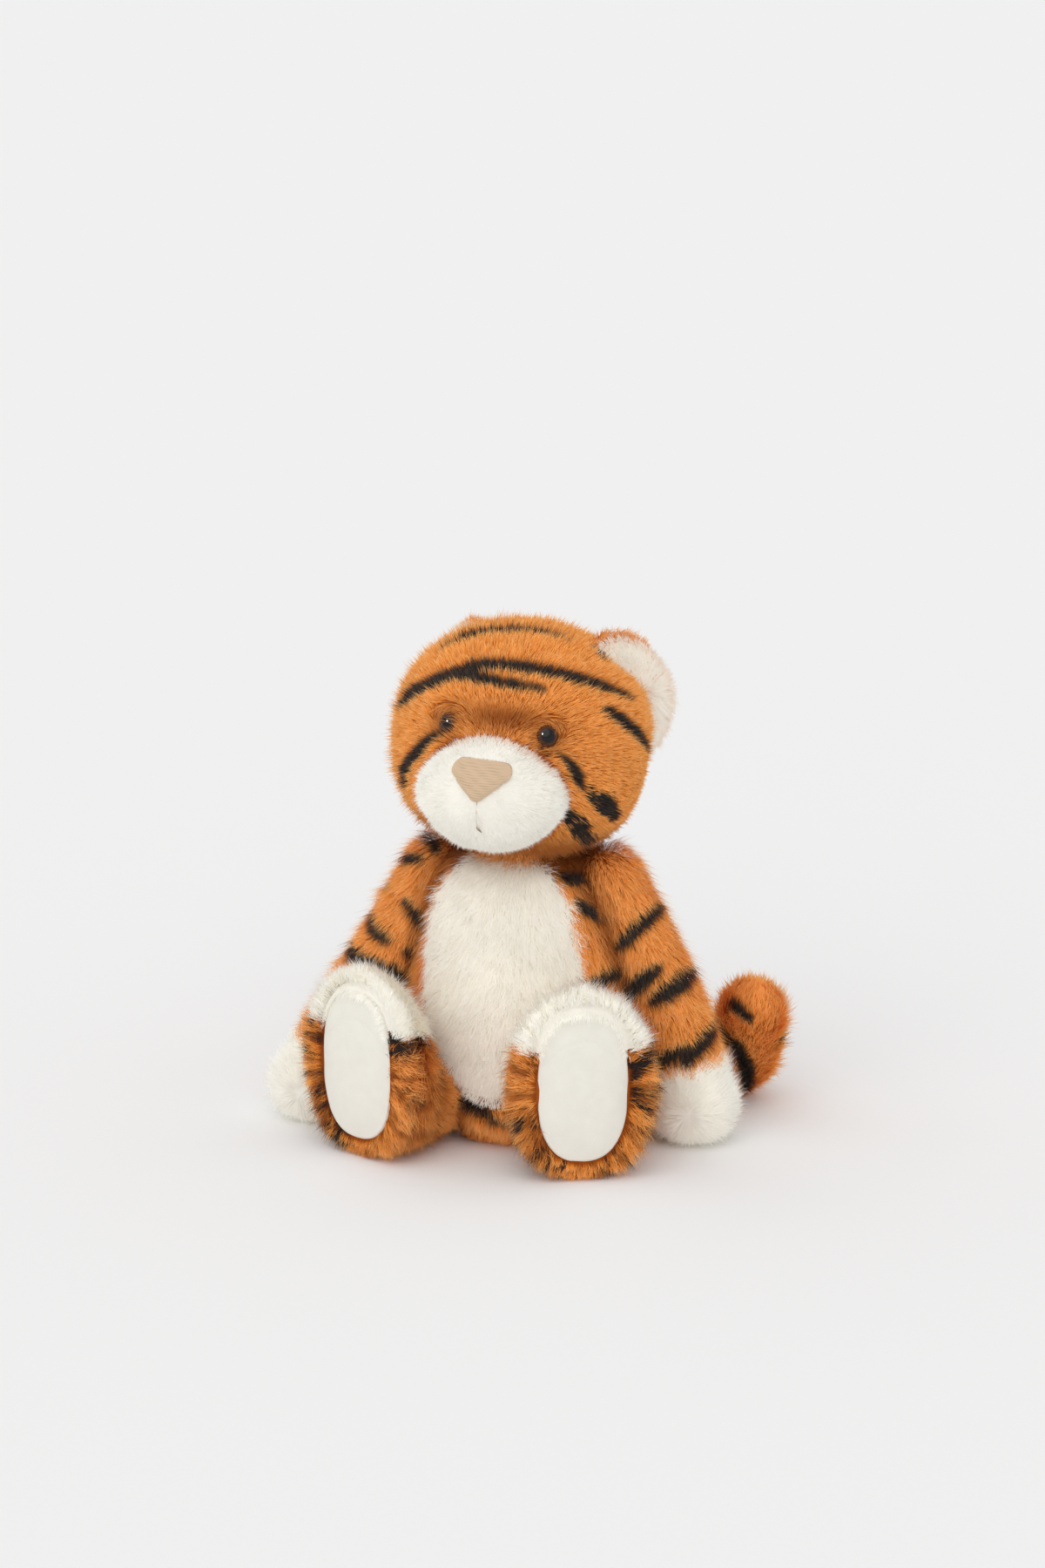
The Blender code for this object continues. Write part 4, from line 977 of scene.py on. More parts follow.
def inside_head(points, grow):
    return inside_egg(points, head_matrix(), head_halves(), (CHEEK_POWER, CROWN_POWER), grow)


def inside_muzzle(points, grow):
    powers = (MUZZLE_POWER, MUZZLE_POWER)
    return inside_egg(points, muzzle_matrix(), muzzle_halves(), powers, grow)


def dent(points, middle, depth, size):
    """How deep a soft round dent is at each point: depth * exp(-(distance / size) ** 2)."""
    away = np.sum((points - np.array(middle)) ** 2, axis=-1)
    return depth * np.exp(-away / size**2)


def eye_frame(side):
    """Where the bead sits on the head, with its Z outward."""
    half = head_halves()
    x, z = EYE_PLACES[side]
    rise = z / half[2]
    size = (1 - rise**CROWN_POWER) ** (1 / CROWN_POWER)
    y = -half[1] * math.sqrt(size**2 - (x / half[0]) ** 2)
    slope = size * (rise / size) ** (CROWN_POWER - 1) / half[2]
    outward = Vector((x / half[0]**2, y / half[1]**2, slope)).normalized()
    turn = outward.to_track_quat("Z", "Y").to_matrix().to_4x4()
    return head_matrix() @ Matrix.Translation((x, y, z)) @ turn


def head_surface():
    """The head's egg with sockets for the eyes and a fold across the brow."""
    halves = head_halves(bpy.context.scene.plush_forms.inset)
    own = egg(*halves, CHEEK_POWER, CROWN_POWER, 84, 128)
    outward = unit(own)
    sink = np.zeros(own.shape[:2])
    for side in (LEFT, RIGHT):
        x, z = EYE_PLACES[side]
        sink += dent(own, (x, -0.048, z), 0.0016, 0.009)
    for x in np.linspace(-0.016, 0.020, 7):
        sink += dent(own, (x, -0.050, 0.0235), 0.0011, 0.006)
    own = own - outward * sink[:, :, None]
    return placed(own, head_matrix())


def muzzle_surface():
    """The muzzle's egg, narrower at the bridge than at the cheeks."""
    forms = bpy.context.scene.plush_forms
    own = egg(*muzzle_halves(forms.inset * 0.6), MUZZLE_POWER, MUZZLE_POWER, 56, 96)
    # In the muzzle's own frame Y points up.
    high = own[:, :, 1] / (forms.muzzle_height / 2)
    own[:, :, 0] *= 1 - 0.20 * smooth_step(high, 0.05, 1.0)
    # A shallow cleft runs down from the nose.
    cleft = bell(own[:, :, 0], 0.004) * smooth_step(-high, 0.05, 0.35)
    own[:, :, 2] -= 0.0016 * cleft * (own[:, :, 2] > 0)
    return placed(own, muzzle_matrix())


def on_muzzle(x, z, lift):
    """Places over the muzzle's front for places (x, z) of the head's own frame."""
    half_width, half_height, half_length = muzzle_halves(-lift)
    size = np.sqrt((x / half_width) ** 2 + ((z + MUZZLE_DROP) / half_height) ** 2)
    size = np.minimum(size, 0.999)
    forward = half_length * (1 - size**MUZZLE_POWER) ** (1 / MUZZLE_POWER)
    return np.stack([x, -MUZZLE_FORWARD - forward, z], axis=-1)


# Stripes: places in millimetres and half widths in millimetres

HEAD_STRIPES = [
    ([(-54, -26, 216), (-51, -34, 225), (-47, -40, 231), (-39, -46, 237.5),
      (-22.6, -49.4, 245.2), (-13.4, -49, 248.8), (1.3, -48.6, 250.6), (15.8, -47.6, 249.4),
      (34.4, -42.2, 244.8), (46.8, -34.2, 239.4), (57, -22, 231.5)],
     (1.6, 3.0, 3.2, 3.2, 3.1, 2.8, 2.7, 2.8, 2.4, 1.2)),
    ([(-24, -49.2, 244.8), (-6, -53.8, 244.6), (8.8, -55, 243), (22.8, -53, 241)],
     (2.4, 2.4, 2.2, 1.4)),
    ([(49, -42, 231), (51.8, -39, 228.8), (55.9, -34.2, 224), (60.1, -29, 218.8),
      (63, -18.4, 211), (63, -8, 203)], (1.0, 2.2, 2.6, 2.6, 2.2, 1.0)),
    ([(31, -62, 215), (36.3, -58.9, 209.1), (38.9, -57.2, 205.3), (41, -55, 199.7),
      (42.8, -53.1, 194)], (0.9, 1.4, 2.3, 2.5, 1.2)),
    ([(-20.5, -63, 222.5), (-27.9, -60.9, 218.4), (-34.9, -57.5, 213), (-39.9, -54.6, 207.4),
      (-46, -48.5, 200), (-49.5, -44.5, 194), (-51.5, -42, 187), (-52, -40, 179)],
     (1.0, 1.7, 2.3, 2.6, 2.7, 2.7, 2.6, 1.6)),
    ([(-35, -30, 253), (-28, -28.5, 256.5), (-20, -26.5, 259.3), (-10.1, -25, 260.8),
      (2.1, -24, 261), (16.1, -22, 259.2), (27, -22, 256)], (1.6, 2.7, 3.0, 3.0, 2.8, 2.4, 1.4)),
    ([(37.5, -16, 255), (41, -17, 251), (44, -18, 246)], (1.6, 2.0, 1.2)),
]
CHEEK_PATCHES = [
    ([(46, -49, 191), (50.1, -43.7, 185.1), (51.7, -39.6, 181.6), (52.9, -32, 177)],
     (2.8, 4.4, 4.8, 3.8)),
    ([(33.5, -58, 187), (35.9, -53.8, 180), (38.4, -49.9, 175.2), (40.2, -43.2, 170),
      (40, -32, 163)], (2.2, 3.2, 4.2, 4.2, 3.0)),
    ([(-55, -36, 182), (-55, -36, 176), (-56, -24, 170)], (2.4, 3.4, 2.6)),
]
TORSO_STRIPES = [
    ([(-44, -30, 134), (-38, -37, 131), (-33, -41, 127)], (3.0, 2.6, 1.2)),
    ([(-60, -16, 117), (-52, -28, 113), (-46, -36, 108)], (3.2, 3.0, 1.2)),
    ([(-64, -10, 93), (-55, -28, 89), (-45, -37, 84)], (3.2, 3.0, 1.4)),
    ([(-65, -8, 66), (-58, -26, 63), (-48, -38, 60)], (3.0, 3.0, 1.2)),
    ([(20, -39, 146), (30, -34, 141), (40, -24, 137)], (2.6, 4.0, 3.4)),
    ([(33.2, -35, 129.5), (37.1, -31.2, 125.1), (44, -28, 120)], (1.4, 2.8, 3.0)),
    ([(36.4, -39.6, 85.4), (42.1, -35.6, 87.5), (47.7, -29.4, 89.8), (56, -20, 93)],
     (1.6, 3.2, 3.2, 2.6)),
    ([(36, -42, 62), (48, -38, 60), (58, -25, 61)], (1.0, 2.6, 2.8)),
    ([(-36, -42, 35), (-26, -46.5, 28), (-16, -48.5, 21.5), (-5, -49.5, 17), (4, -49, 14)],
     (1.6, 2.4, 2.4, 1.8)),
]
ARM_STRIPES = {
    LEFT: [
        ([(55, -22.5, 104.5), (57.8, -23.1, 108), (62.1, -22.3, 113.2), (65.8, -19.4, 117.3),
          (68.8, -13.2, 120.4), (70, -4, 122)], (1.6, 2.8, 3.1, 3.1, 2.8, 1.6)),
        ([(74, -24, 78), (79.3, -21.5, 82.8), (84.3, -15.9, 86.1), (88, -7, 89)],
         (2.6, 3.8, 4.0, 3.2)),
        ([(58, -17, 79), (65, -22.3, 83.6), (71.6, -23.2, 88.1)], (3.0, 2.6, 1.2)),
        ([(90, -23.5, 48), (94.5, -19.2, 53.8), (97.1, -11.4, 58.1), (98, -2, 62)],
         (2.6, 3.4, 3.4, 2.4)),
        ([(75.4, -22.2, 41), (78.5, -23.9, 44.6)], (2.4, 1.6)),
    ],
    RIGHT: [
        ([(-79, -14, 113), (-76.5, -22, 107.5), (-71.6, -26.3, 103.1), (-65.8, -28.4, 100.5)],
         (2.6, 3.0, 3.2, 2.2)),
        ([(-91, -16, 93), (-84.2, -25.8, 88.9), (-75.9, -30.9, 87.3), (-68.6, -30.3, 88.6)],
         (2.6, 2.9, 3.0, 2.0)),
        ([(-69.4, -30.7, 85.9), (-63.7, -28, 82.8), (-59.2, -21.8, 80.4)], (3.6, 4.4, 3.0)),
        ([(-55.6, -26.2, 120.1), (-51.8, -26.4, 114.9), (-48.8, -24.1, 108)], (2.4, 3.2, 2.4)),
        ([(-57, -25.7, 95), (-56, -18, 86)], (2.8, 2.8)),
        ([(-70, -10, 128), (-66.6, -18.1, 123.6)], (2.6, 1.8)),
        ([(-58.4, -16.8, 138.7), (-49.1, -22.5, 140.9)], (2.4, 1.6)),
        ([(-52, -9, 150), (-47, -15.3, 148.2), (-43.2, -20.5, 145.4)], (2.4, 3.0, 2.2)),
    ],
}
TAIL_STRIPES = [
    ([(96, 41, 60), (101.3, 42.3, 57.6), (108.9, 39.6, 53.8)], (1.6, 2.6, 1.8)),
    ([(94.9, 44.6, 43.4), (102.5, 42.5, 37.1), (105.3, 47.1, 25.4), (103.8, 59.1, 8.4)],
     (2.2, 3.0, 3.2, 2.6)),
    ([(118, 50, 30), (121, 56, 36), (119, 64, 40)], (2.0, 2.6, 2.0)),
    ([(108, 74, 40), (100, 73, 46), (94, 66, 48)], (2.0, 3.0, 2.0)),
]
# share down the arm, start and end of the turn in degrees, slope, and half width in mm
ARM_BANDS = {
    LEFT: [(0.42, 150, 260, 0.05, 3.4), (0.66, 150, 260, 0.05, 3.2)],
    RIGHT: [(0.18, 20, 110, -0.05, 3.2), (0.44, 20, 110, -0.05, 3.4), (0.66, 20, 110, -0.05, 3.2)],
}
# where the dark tufts gather round each foot: turn, spread, both in degrees, and weight
FOOT_DARKS = {
    LEFT: [(20, 22, 0.9), (-15, 30, 0.75), (-60, 25, 0.5), (-125, 22, 0.9), (-150, 18, 0.5)],
    RIGHT: [(155, 22, 0.8), (200, 28, 0.6), (-120, 28, 1.0), (38, 20, 1.0), (-20, 25, 0.3)],
}
LEG_BANDS = [(0.12, 20, 170, 0.03, 3.2), (0.34, 10, 165, 0.03, 3.2), (0.55, 15, 160, 0.03, 3.0)]
TAIL_BANDS = [(0.22, 20, 340, 0.02, 3.2), (0.36, 10, 330, 0.02, 3.2), (0.50, 30, 350, 0.02, 3.0)]
# height share, start and end of the turn in degrees, sag and half width in mm
BACK_BANDS = [(0.80, 84, 50, -0.03, 3.0), (0.80, 96, 130, -0.03, 3.0),
              (0.64, 82, 12, -0.07, 3.4), (0.64, 98, 168, -0.07, 3.4),
              (0.47, 82, 8, -0.07, 3.6), (0.47, 98, 172, -0.07, 3.6),
              (0.30, 80, 14, -0.06, 3.4), (0.30, 100, 166, -0.06, 3.4)]
HEAD_BANDS = [(0.80, 66, 26, -0.03, 3.0), (0.80, 114, 154, -0.03, 3.0),
              (0.66, 70, 30, -0.04, 3.4), (0.66, 110, 150, -0.04, 3.4),
              (0.50, 72, 34, -0.05, 3.4), (0.50, 108, 146, -0.05, 3.4)]


def in_metres(stripes):
    return [(np.array(places) / 1000, np.array(widths) / 1000) for places, widths in stripes]


def bands(surface, rows):
    """Stripes that run round a grid: share along it, turn from and to, slope, half width."""
    lines = []
    for share, start, end, slope, half in rows:
        step = np.linspace(0, 1, 15)
        turn = (start + (end - start) * step) / 360 * surface.shape[1]
        place = np.clip(share + slope * step, 0, 0.999) * (len(surface) - 1)
        column, row = np.floor(turn).astype(int), np.floor(place).astype(int)
        s, t = (turn - column)[:, None], (place - row)[:, None]
        near, far = column % surface.shape[1], (column + 1) % surface.shape[1]
        low = surface[row, near] * (1 - s) + surface[row, far] * s
        high = surface[row + 1, near] * (1 - s) + surface[row + 1, far] * s
        widths = half / 1000 * np.interp(step, [0, 0.12, 0.75, 1], [0.35, 1, 0.9, 0.2])
        lines.append((low * (1 - t) + high * t, widths))
    return lines


# Pieces

def dress(item, body, nodes=()):
    """Hangs a piece on its body and hides the solids that it stands for."""
    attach(item, body)
    if nodes:
        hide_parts(*nodes)
    return item


def trimmed(points, inside, on_floor, top):
    """Share of the pile's length: less where the torso presses on it, and less by the floor."""
    pressed = np.where(inside_torso(points, 0.001), inside, 1.0)
    return pressed * growing(points[:, 2], 0.002, top, on_floor)


def on_panel(points):
    """Whether places of the torso lie on the belly panel: inside its superellipse, in front."""
    forms = bpy.context.scene.plush_forms
    x = np.abs(points[:, 0] - PANEL_ASIDE) / (forms.panel_width / 2)
    z = np.abs(points[:, 2] - forms.panel_middle) / (forms.panel_height / 2)
    return (x**PANEL_POWER + z**PANEL_POWER < 1) & (points[:, 1] < -0.010)


def make_torso():
    """The torso's striped pile round a cream belly panel, and the long pile of the neck."""
    pile = bpy.context.scene.plush_pile
    surface = torso_surface()
    places, radii = limb_spheres()

    def clear(points):
        """Not in a hollow, not under the seat and not under the head."""
        free = np.ones(len(points), bool)
        for place, radius in zip(places, radii):
            free &= np.sum((points - place) ** 2, axis=1) > (radius + 0.0014) ** 2
        return free & (points[:, 2] > 0.0012) & (points[:, 2] < 0.1475)

    def down(points, normals):
        return -Z_AXIS + unit(points * [1, 1, 0]) * 0.15

    def parted(points, normals):
        """Belly pile falls away from the panel's middle line."""
        aside = np.clip((points[:, :1] - PANEL_ASIDE) / 0.03, -1, 1)
        return -Z_AXIS + X_AXIS * aside * 0.45

    def low(points):
        """Shorter beside the floor and under the chin."""
        height = points[:, 2]
        return growing(height, 0.004, 0.022, 0.45) * growing(height, 0.140, 0.147, 1.0, 0.75)

    def hem(points):
        """The belly's pile is short along the panel's lower end."""
        return low(points) * growing(points[:, 2], 0.026, 0.048, 0.45)

    def painted_crease_shade(points):
        """Deeper orange where the limbs and the head shut the light out."""
        amount = 0.8 * smooth_step(points[:, 2], 0.134, 0.144)
        for place, radius in zip(places, radii):
            away = np.linalg.norm(points - place, axis=1) - radius
            amount = np.maximum(amount, 0.95 * (1 - smooth_step(away, 0.002, 0.015)))
        return amount

    stripes = in_metres(TORSO_STRIPES) + bands(surface, BACK_BANDS)
    # The tint is painted shade beside the limbs and under the head.
    cover = plush("torso_plush", surface, orange_pile(), 1, pile.body, down,
                  lambda points: clear(points) & ~on_panel(points), low, stripes, tint=painted_crease_shade)
    dress(cover, "torso", ("torso_cover", "torso_filling", "pellet_pouch"))
    panel = plush("belly_plush", surface, cream_pile(), 2, pile.belly, parted,
                  lambda points: clear(points) & on_panel(points), hem, density=1.1,
                  lean=(42, 72), wild=0.30)
    dress(panel, "torso", ("belly_panel",))

    ball = egg(*[NECK_RADIUS] * 3, 2, 2, 20, 36) + joint_place("head_turn")
    # Long and upright, so that no light passes between the head and the shoulders.
    neck = plush("neck_plush", ball, orange_pile(), 3, pile.body * 1.2, down, density=1.3,
                 lean=(12, 40), wild=0.5)
    dress(neck, "neck", ("neck_filling",))


def face_size(points):
    """Short pile beside the muzzle, growing to full length over the cheeks and crown."""
    middle = np.array(head_matrix() @ Vector((0, -MUZZLE_FORWARD, -MUZZLE_DROP + 0.006)))
    pile = bpy.context.scene.plush_pile
    away = np.linalg.norm(points - middle, axis=1)
    size = growing(away, 0.034, 0.066, pile.face / pile.body, 0.86)
    # Longer over the right eye, which it half hides, and short on the left jowl.
    right = np.linalg.norm(points - np.array(eye_frame(RIGHT).translation), axis=1)
    jowl = np.linalg.norm((points - LEFT_JOWL) / [1, 1.5, 1], axis=1)
    size = size * (1 + 0.5 * bell(right, 0.010)) * (1 - 0.60 * bell(jowl, 0.030))
    # The pile in front of an ear is short, so that the ear's white shows.
    for side in (LEFT, RIGHT):
        matrix, half_length, _ = ear_frame(side)
        own = placed(points, matrix.inverted())
        seam = bell(own[:, 0] * side + 0.002, 0.006) * bell(own[:, 1] + 0.005, 0.007)
        size = size * (1 - 0.6 * seam * smooth_step(half_length - np.abs(own[:, 2]), 0, 0.006))
    return size


def make_head():
    """The head's striped pile, combed away from the face's middle and down at the back."""
    pile = bpy.context.scene.plush_pile
    surface = head_surface()
    matrix = head_matrix()
    source = np.array(matrix @ Vector((0, -MUZZLE_FORWARD + 0.004, -MUZZLE_DROP + 0.016)))
    beads = {side: np.array(eye_frame(side).translation) for side in (LEFT, RIGHT)}

    def comb(points, normals):
        back = smooth_step(points[:, 1], 0.0, 0.045)[:, None]
        way = unit(points - source) - Z_AXIS * 1.1 * back
        for side, bead in beads.items():
            # Fur round an eye lies over the edge of its bead, most from above.
            gap = bead - points
            ring = bell(np.linalg.norm(gap, axis=1) - EYE_RING, EYE_RING_WIDTH)
            above = 1 - 0.85 * np.clip(gap[:, 2] / 0.004, 0, 1)
            way = way + unit(gap) * (ring * above * EYE_VEIL[side])[:, None]
        return way

    def keep(points):
        free = ~inside_muzzle(points, 0.0004)
        for side, bead in beads.items():
            free &= np.sum((points - bead) ** 2, axis=1) > EYE_CLEAR[side] ** 2
        return free

    def brown(points):
        """Painted shade: deeper orange in the fold over the bridge, round the eyes and under the
        chin.
        """
        own = placed(points, matrix.inverted())
        across = (own - BROW_SHADE_MIDDLE) / BROW_SHADE_SIZE
        amount = 0.90 * np.exp(-np.sum(across**2, axis=1))
        for bead in beads.values():
            away = np.sum((points - bead) ** 2, axis=1)
            amount = np.maximum(amount, 0.85 * np.exp(-away / 0.0088**2))
        return np.maximum(amount, 0.8 * smooth_step(-own[:, 2], 0.030, 0.048))

    def patches(points):
        """Share of dark tufts: high on the cheeks and some below the left eye."""
        left = np.linalg.norm(points - beads[LEFT] + [0, 0, 0.004], axis=1)
        return np.maximum(0.86 * stripe_amount(points, in_metres(CHEEK_PATCHES), 0.0030),
                          0.55 * bell(left, 0.0048))

    stripes = in_metres(HEAD_STRIPES) + bands(surface, HEAD_BANDS)
    # The brown tint is painted shade in the fold, round the eyes and under the chin.
    cover = plush("head_plush", surface, orange_pile(), 10, pile.body, comb, keep, face_size,
                  stripes, tint=brown, dark=patches, lean=(46, 73), wild=0.13, swirl=0.36,
                  clumps=0.0024, pull=0.16)
    dress(cover, "head", ("head_cover", "head_filling"))


def make_muzzle():
    """White pile combed outwards from the nose, parted along the mouth seam."""
    pile = bpy.context.scene.plush_pile
    matrix = head_matrix()
    inverse = matrix.inverted()
    source = np.array(matrix @ Vector((0, -MUZZLE_FORWARD - 0.031, -NOSE_DROP - 0.004)))

    def comb(points, normals):
        own = placed(points, inverse)
        aside = np.sign(own[:, :1]) * bell(own[:, :1], 0.006)
        aside = aside * 0.5 * (own[:, 2:] < -NOSE_DROP) * (own[:, 2:] > -0.024)
        return unit(points - source) + np.array(matrix.to_3x3() @ Vector((1, 0, 0))) * aside

    def keep(points):
        """Outside the head and outside a triangle a little smaller than the nose."""
        own = placed(points, inverse)
        below = own[:, 2] + NOSE_DROP
        half = 0.0148 * np.clip(1 - (0.0085 - below) / 0.021, 0.12, 1)
        nose = (np.abs(own[:, 0]) < half) & (below < 0.0086) & (below > -0.0098)
        return ~nose & ~inside_head(points, -0.0030)

    def short(points):
        """Short round the nose and on the chin."""
        own = placed(points, inverse)
        near = np.linalg.norm((own - [0, -0.081, -NOSE_DROP]) / [1, 1, 0.8], axis=1)
        chin = growing(-own[:, 2], 0.020, 0.030, 1.0, 0.60)
        return growing(near, 0.013, 0.034, 0.50, 1.06) * chin

    def pink(points):
        """Rosy tips where the white meets the orange."""
        edge = inside_head(points, 0.0030).astype(float)
        return edge * (0.42 + 0.32 * wave_noise(points, 0.012, 77))

    cover = plush("muzzle_plush", muzzle_surface(), white_pile(), 12, pile.muzzle, comb, keep,
                  short, density=1.15, tint=pink, lean=(34, 64), wild=0.25, swirl=0.6,
                  clumps=0.0026, pull=0.18)
    dress(cover, "head", ("muzzle_cover",))


def nose_outline(columns):
    """Three corner arcs and the straight sides between them, read at even steps of length."""
    half_width, top = NOSE_WIDTH / 2 - NOSE_CORNER, NOSE_HEIGHT / 2 - NOSE_CORNER
    arcs = []
    for index, corner in enumerate(((half_width, top), (-half_width, top), (0, -top))):
        turn = np.radians(-30 + 120 * index + np.linspace(0, 120, 13))
        arcs.append(np.array(corner) + NOSE_CORNER * np.column_stack([np.cos(turn), np.sin(turn)]))
    loop = np.concatenate([*arcs, arcs[0][:1]])
    step = np.concatenate([[0], np.cumsum(np.linalg.norm(np.diff(loop, axis=0), axis=1))])
    read = np.arange(columns) / columns * step[-1]
    return np.interp(read, step, loop[:, 0]), np.interp(read, step, loop[:, 1])


def make_nose():
    """A rounded triangle domed over the muzzle; its ribs are a sine of the height."""
    matrix = head_matrix()
    rings, columns = 40, 120
    edge_x, edge_z = nose_outline(columns)
    size = np.linspace(0, 1, rings) ** 0.75
    x = size[:, None] * edge_x
    # The top edge arches a little.
    arch = 0.0015 * (1 - (edge_x / edge_x.max()) ** 2) * (edge_z > 0)
    z = size[:, None] * (edge_z + arch)
    # The ribs sag and waver as sewn cloth does.
    sag = (0.0012 * (x / edge_x.max()) ** 2 + 0.00030 * np.sin(x * 260 + z * 150)
           + 0.00016 * np.sin(x * 640 - z * 380 + 1))
    rib = 0.5 - 0.5 * np.cos(2 * math.pi * (z - sag) / 0.00112)
    rib = rib * (0.62 + 0.38 * np.sin(x * 520 + z * 3100) * np.sin(z * 1700 - x * 230 + 2))
    face = 1 - size[:, None] ** 6
    lift = 0.0010 + 0.0022 * face
    flat = on_muzzle(x, z - NOSE_DROP, 0.0)
    proud = flat + [0, -1, 0] * (lift - 0.00024 * rib * face)[:, :, None]
    # The hem turns in under the pile.
    hem = flat[-1] + [0, 0.0012, 0]
    surface = np.concatenate([hem[None], proud[::-1]])
    furrow = np.concatenate([np.ones((1, columns)), (rib * face)[::-1]])
    velour = velour_material("ribbed nose velour", bpy.context.scene.plush_colours.nose, 0.66)
    item = make_grid("nose_velour", placed(surface, matrix), velour, [("rib", furrow.ravel())])
    dress(item, "head", ("nose_patch",))


def make_mouth():
    """A thread sunk in the parting under the nose, thick and brown only at its lower end."""
    matrix = head_matrix()
    rings, columns = 48, 12
    step = np.linspace(0, 1, rings)
    z = -NOSE_DROP - 0.0080 - step * 0.0165
    x = 0.0004 + 0.0010 * step**2 + 0.0022 * smooth_step(step, 0.82, 1.0)
    spine = placed(on_muzzle(x, z, -0.0008), matrix)
    end = smooth_step(step, 0.72, 0.92)
    proud = np.array(matrix.to_3x3() @ Vector((0, -1, 0)))
    spine = spine + np.outer(0.0018 * end, proud)
    radii = (0.00036 + 0.00012 * end) * (1 + 0.12 * np.cos(step * 2 * math.pi * 8))
    ways = unit(np.gradient(spine, axis=0))
    across = unit(np.cross(ways, Y_AXIS))
    half = radii * np.sqrt(np.clip(np.minimum(step, 1 - step) * 14, 0, 1))
    surface = ring_grid(spine, across, np.cross(ways, across), half, half, columns)
    item = make_grid("mouth_thread", surface, thread_material(),
                     [("knot", np.repeat(end, columns))])
    dress(item, "head", ("mouth_stitch",))


def make_eyes():
    """Bead domes: width is the sine and height the cosine of an angle, closed underneath."""
    gloss, plastic = bead_material(), plastic_material()
    columns = 48
    angle = np.linspace(0, 2.2, 30)
    radius = bpy.context.scene.plush_forms.eye_width / 2
    turn = np.arange(columns) * (2 * math.pi / columns)
    wide = np.sin(angle) * radius
    high = np.cos(angle) * radius * 0.80 - radius * 0.14
    own = np.stack([np.outer(wide, np.cos(turn)), np.outer(wide, np.sin(turn)),
                    np.repeat(high[:, None], columns, axis=1)], axis=2)[::-1]
    base = own[:1] * [0, 0, 1]
    own = np.concatenate([base, own])
    iris = np.concatenate([[1.0], np.clip(angle[::-1] / 1.45, 0, 1)])
    for side in (LEFT, RIGHT):
        name = SIDE_NAMES[side]
        item = make_grid(f"{name}_bead_eye", placed(own, eye_frame(side)), gloss,
                         [("iris", np.repeat(iris, columns))])
        dress(item, "head", (f"{name}_eye",))
        washer = frame["nodes"][f"{name}_eye_washer"]
        washer.data.materials.clear()
        washer.data.materials.append(plastic)


def ear_frame(side):
    """The ear's place, with X outwards from its seam, and its half length and reach."""
    forms = bpy.context.scene.plush_forms
    out, behind, up = EAR_PLACES[side]
    place = Matrix.Translation((side * out, behind, up))
    lean = Matrix.Rotation(math.radians(side * EAR_LEAN), 4, "Y")
    yaw = Matrix.Rotation(math.radians(side * EAR_YAWS[side]), 4, "Z")
    return head_matrix() @ place @ yaw @ lean, forms.ear_length / 2, forms.ear_reach


def ear_pad(side, inset, front, back, cup):
    """A pillow of half-oval plan: ring share sin, depth cos, bent forward towards the rim."""
    matrix, half_length, reach = ear_frame(side)
    angle = np.linspace(0, math.pi, 34)
    share = np.sin(angle) ** 0.8
    turn = np.arange(72) * (2 * math.pi / 72)
    x = np.outer(share, np.cos(turn)) * (reach - inset)
    z = np.outer(share, np.sin(turn)) * (half_length - inset)
    depth = (front + back) / 2 - np.cos(angle) * (back - front) / 2
    y = depth[:, None] - cup * (x / reach).clip(0) ** 2
    own = np.stack([side * x, y, z], axis=2)
    if side == LEFT:
        # Depth grows backwards, which turns the grid inside out on this side.
        own = own[:, ::-1]
    return placed(own.reshape(-1, 3), matrix).reshape(own.shape)


def make_ears():
    """Each ear is an orange back and a white lining, combed from the seam to the rim."""
    pile = bpy.context.scene.plush_pile
    for side in (LEFT, RIGHT):
        name = SIDE_NAMES[side]
        matrix, half_length, reach = ear_frame(side)
        inverse = matrix.inverted()
        source = np.array(matrix @ Vector((-side * 0.030, 0, -0.006)))

        def keep(points):
            return ~inside_head(points, -0.0015)

        def outwards(points, normals):
            """The back's pile runs from the seam to the rim."""
            return unit(points - source)

        def spread(points, normals):
            """The lining's pile spreads from its middle, over the rim and over the seam."""
            return unit(points - np.array(matrix @ Vector((side * reach * 0.5, 0, 0))))

        def rim_share(points):
            """0 at the root of the ear and 1 at its rim."""
            own = placed(points, inverse)
            across = np.hypot(own[:, 0] / reach, own[:, 2] / half_length)
            return smooth_step(across, 0.70, 0.98)

        def lining_size(points):
            return 1.15 - 0.25 * rim_share(points)

        def back_size(points):
            own = placed(points, inverse)
            return 1 - 0.78 * rim_share(points) * smooth_step(-own[:, 2], -0.026, -0.010)

        def rosy(points):
            return 0.35 * rim_share(points) ** 4

        back = plush(f"{name}_ear_back_plush", ear_pad(side, 0.0006, 0.0, 0.0050, 0.006),
                     orange_pile(), 20 + side, pile.ear * 1.2, outwards, keep, back_size,
                     lean=(46, 72), wild=0.22, swirl=0.6, clumps=0.0028)
        dress(back, "head", (f"{name}_ear_back",))
        lining = plush(f"{name}_ear_lining_plush", ear_pad(side, 0.0022, -0.0040, 0.0004, 0.006),
                       white_pile(), 24 + side, pile.ear * 1.15, spread, keep, lining_size,
                       density=1.45, lean=(46, 74), wild=0.15, swirl=0.5, clumps=0.0022,
                       pull=0.16, tint=rosy)
        dress(lining, "head", (f"{name}_ear_lining",))


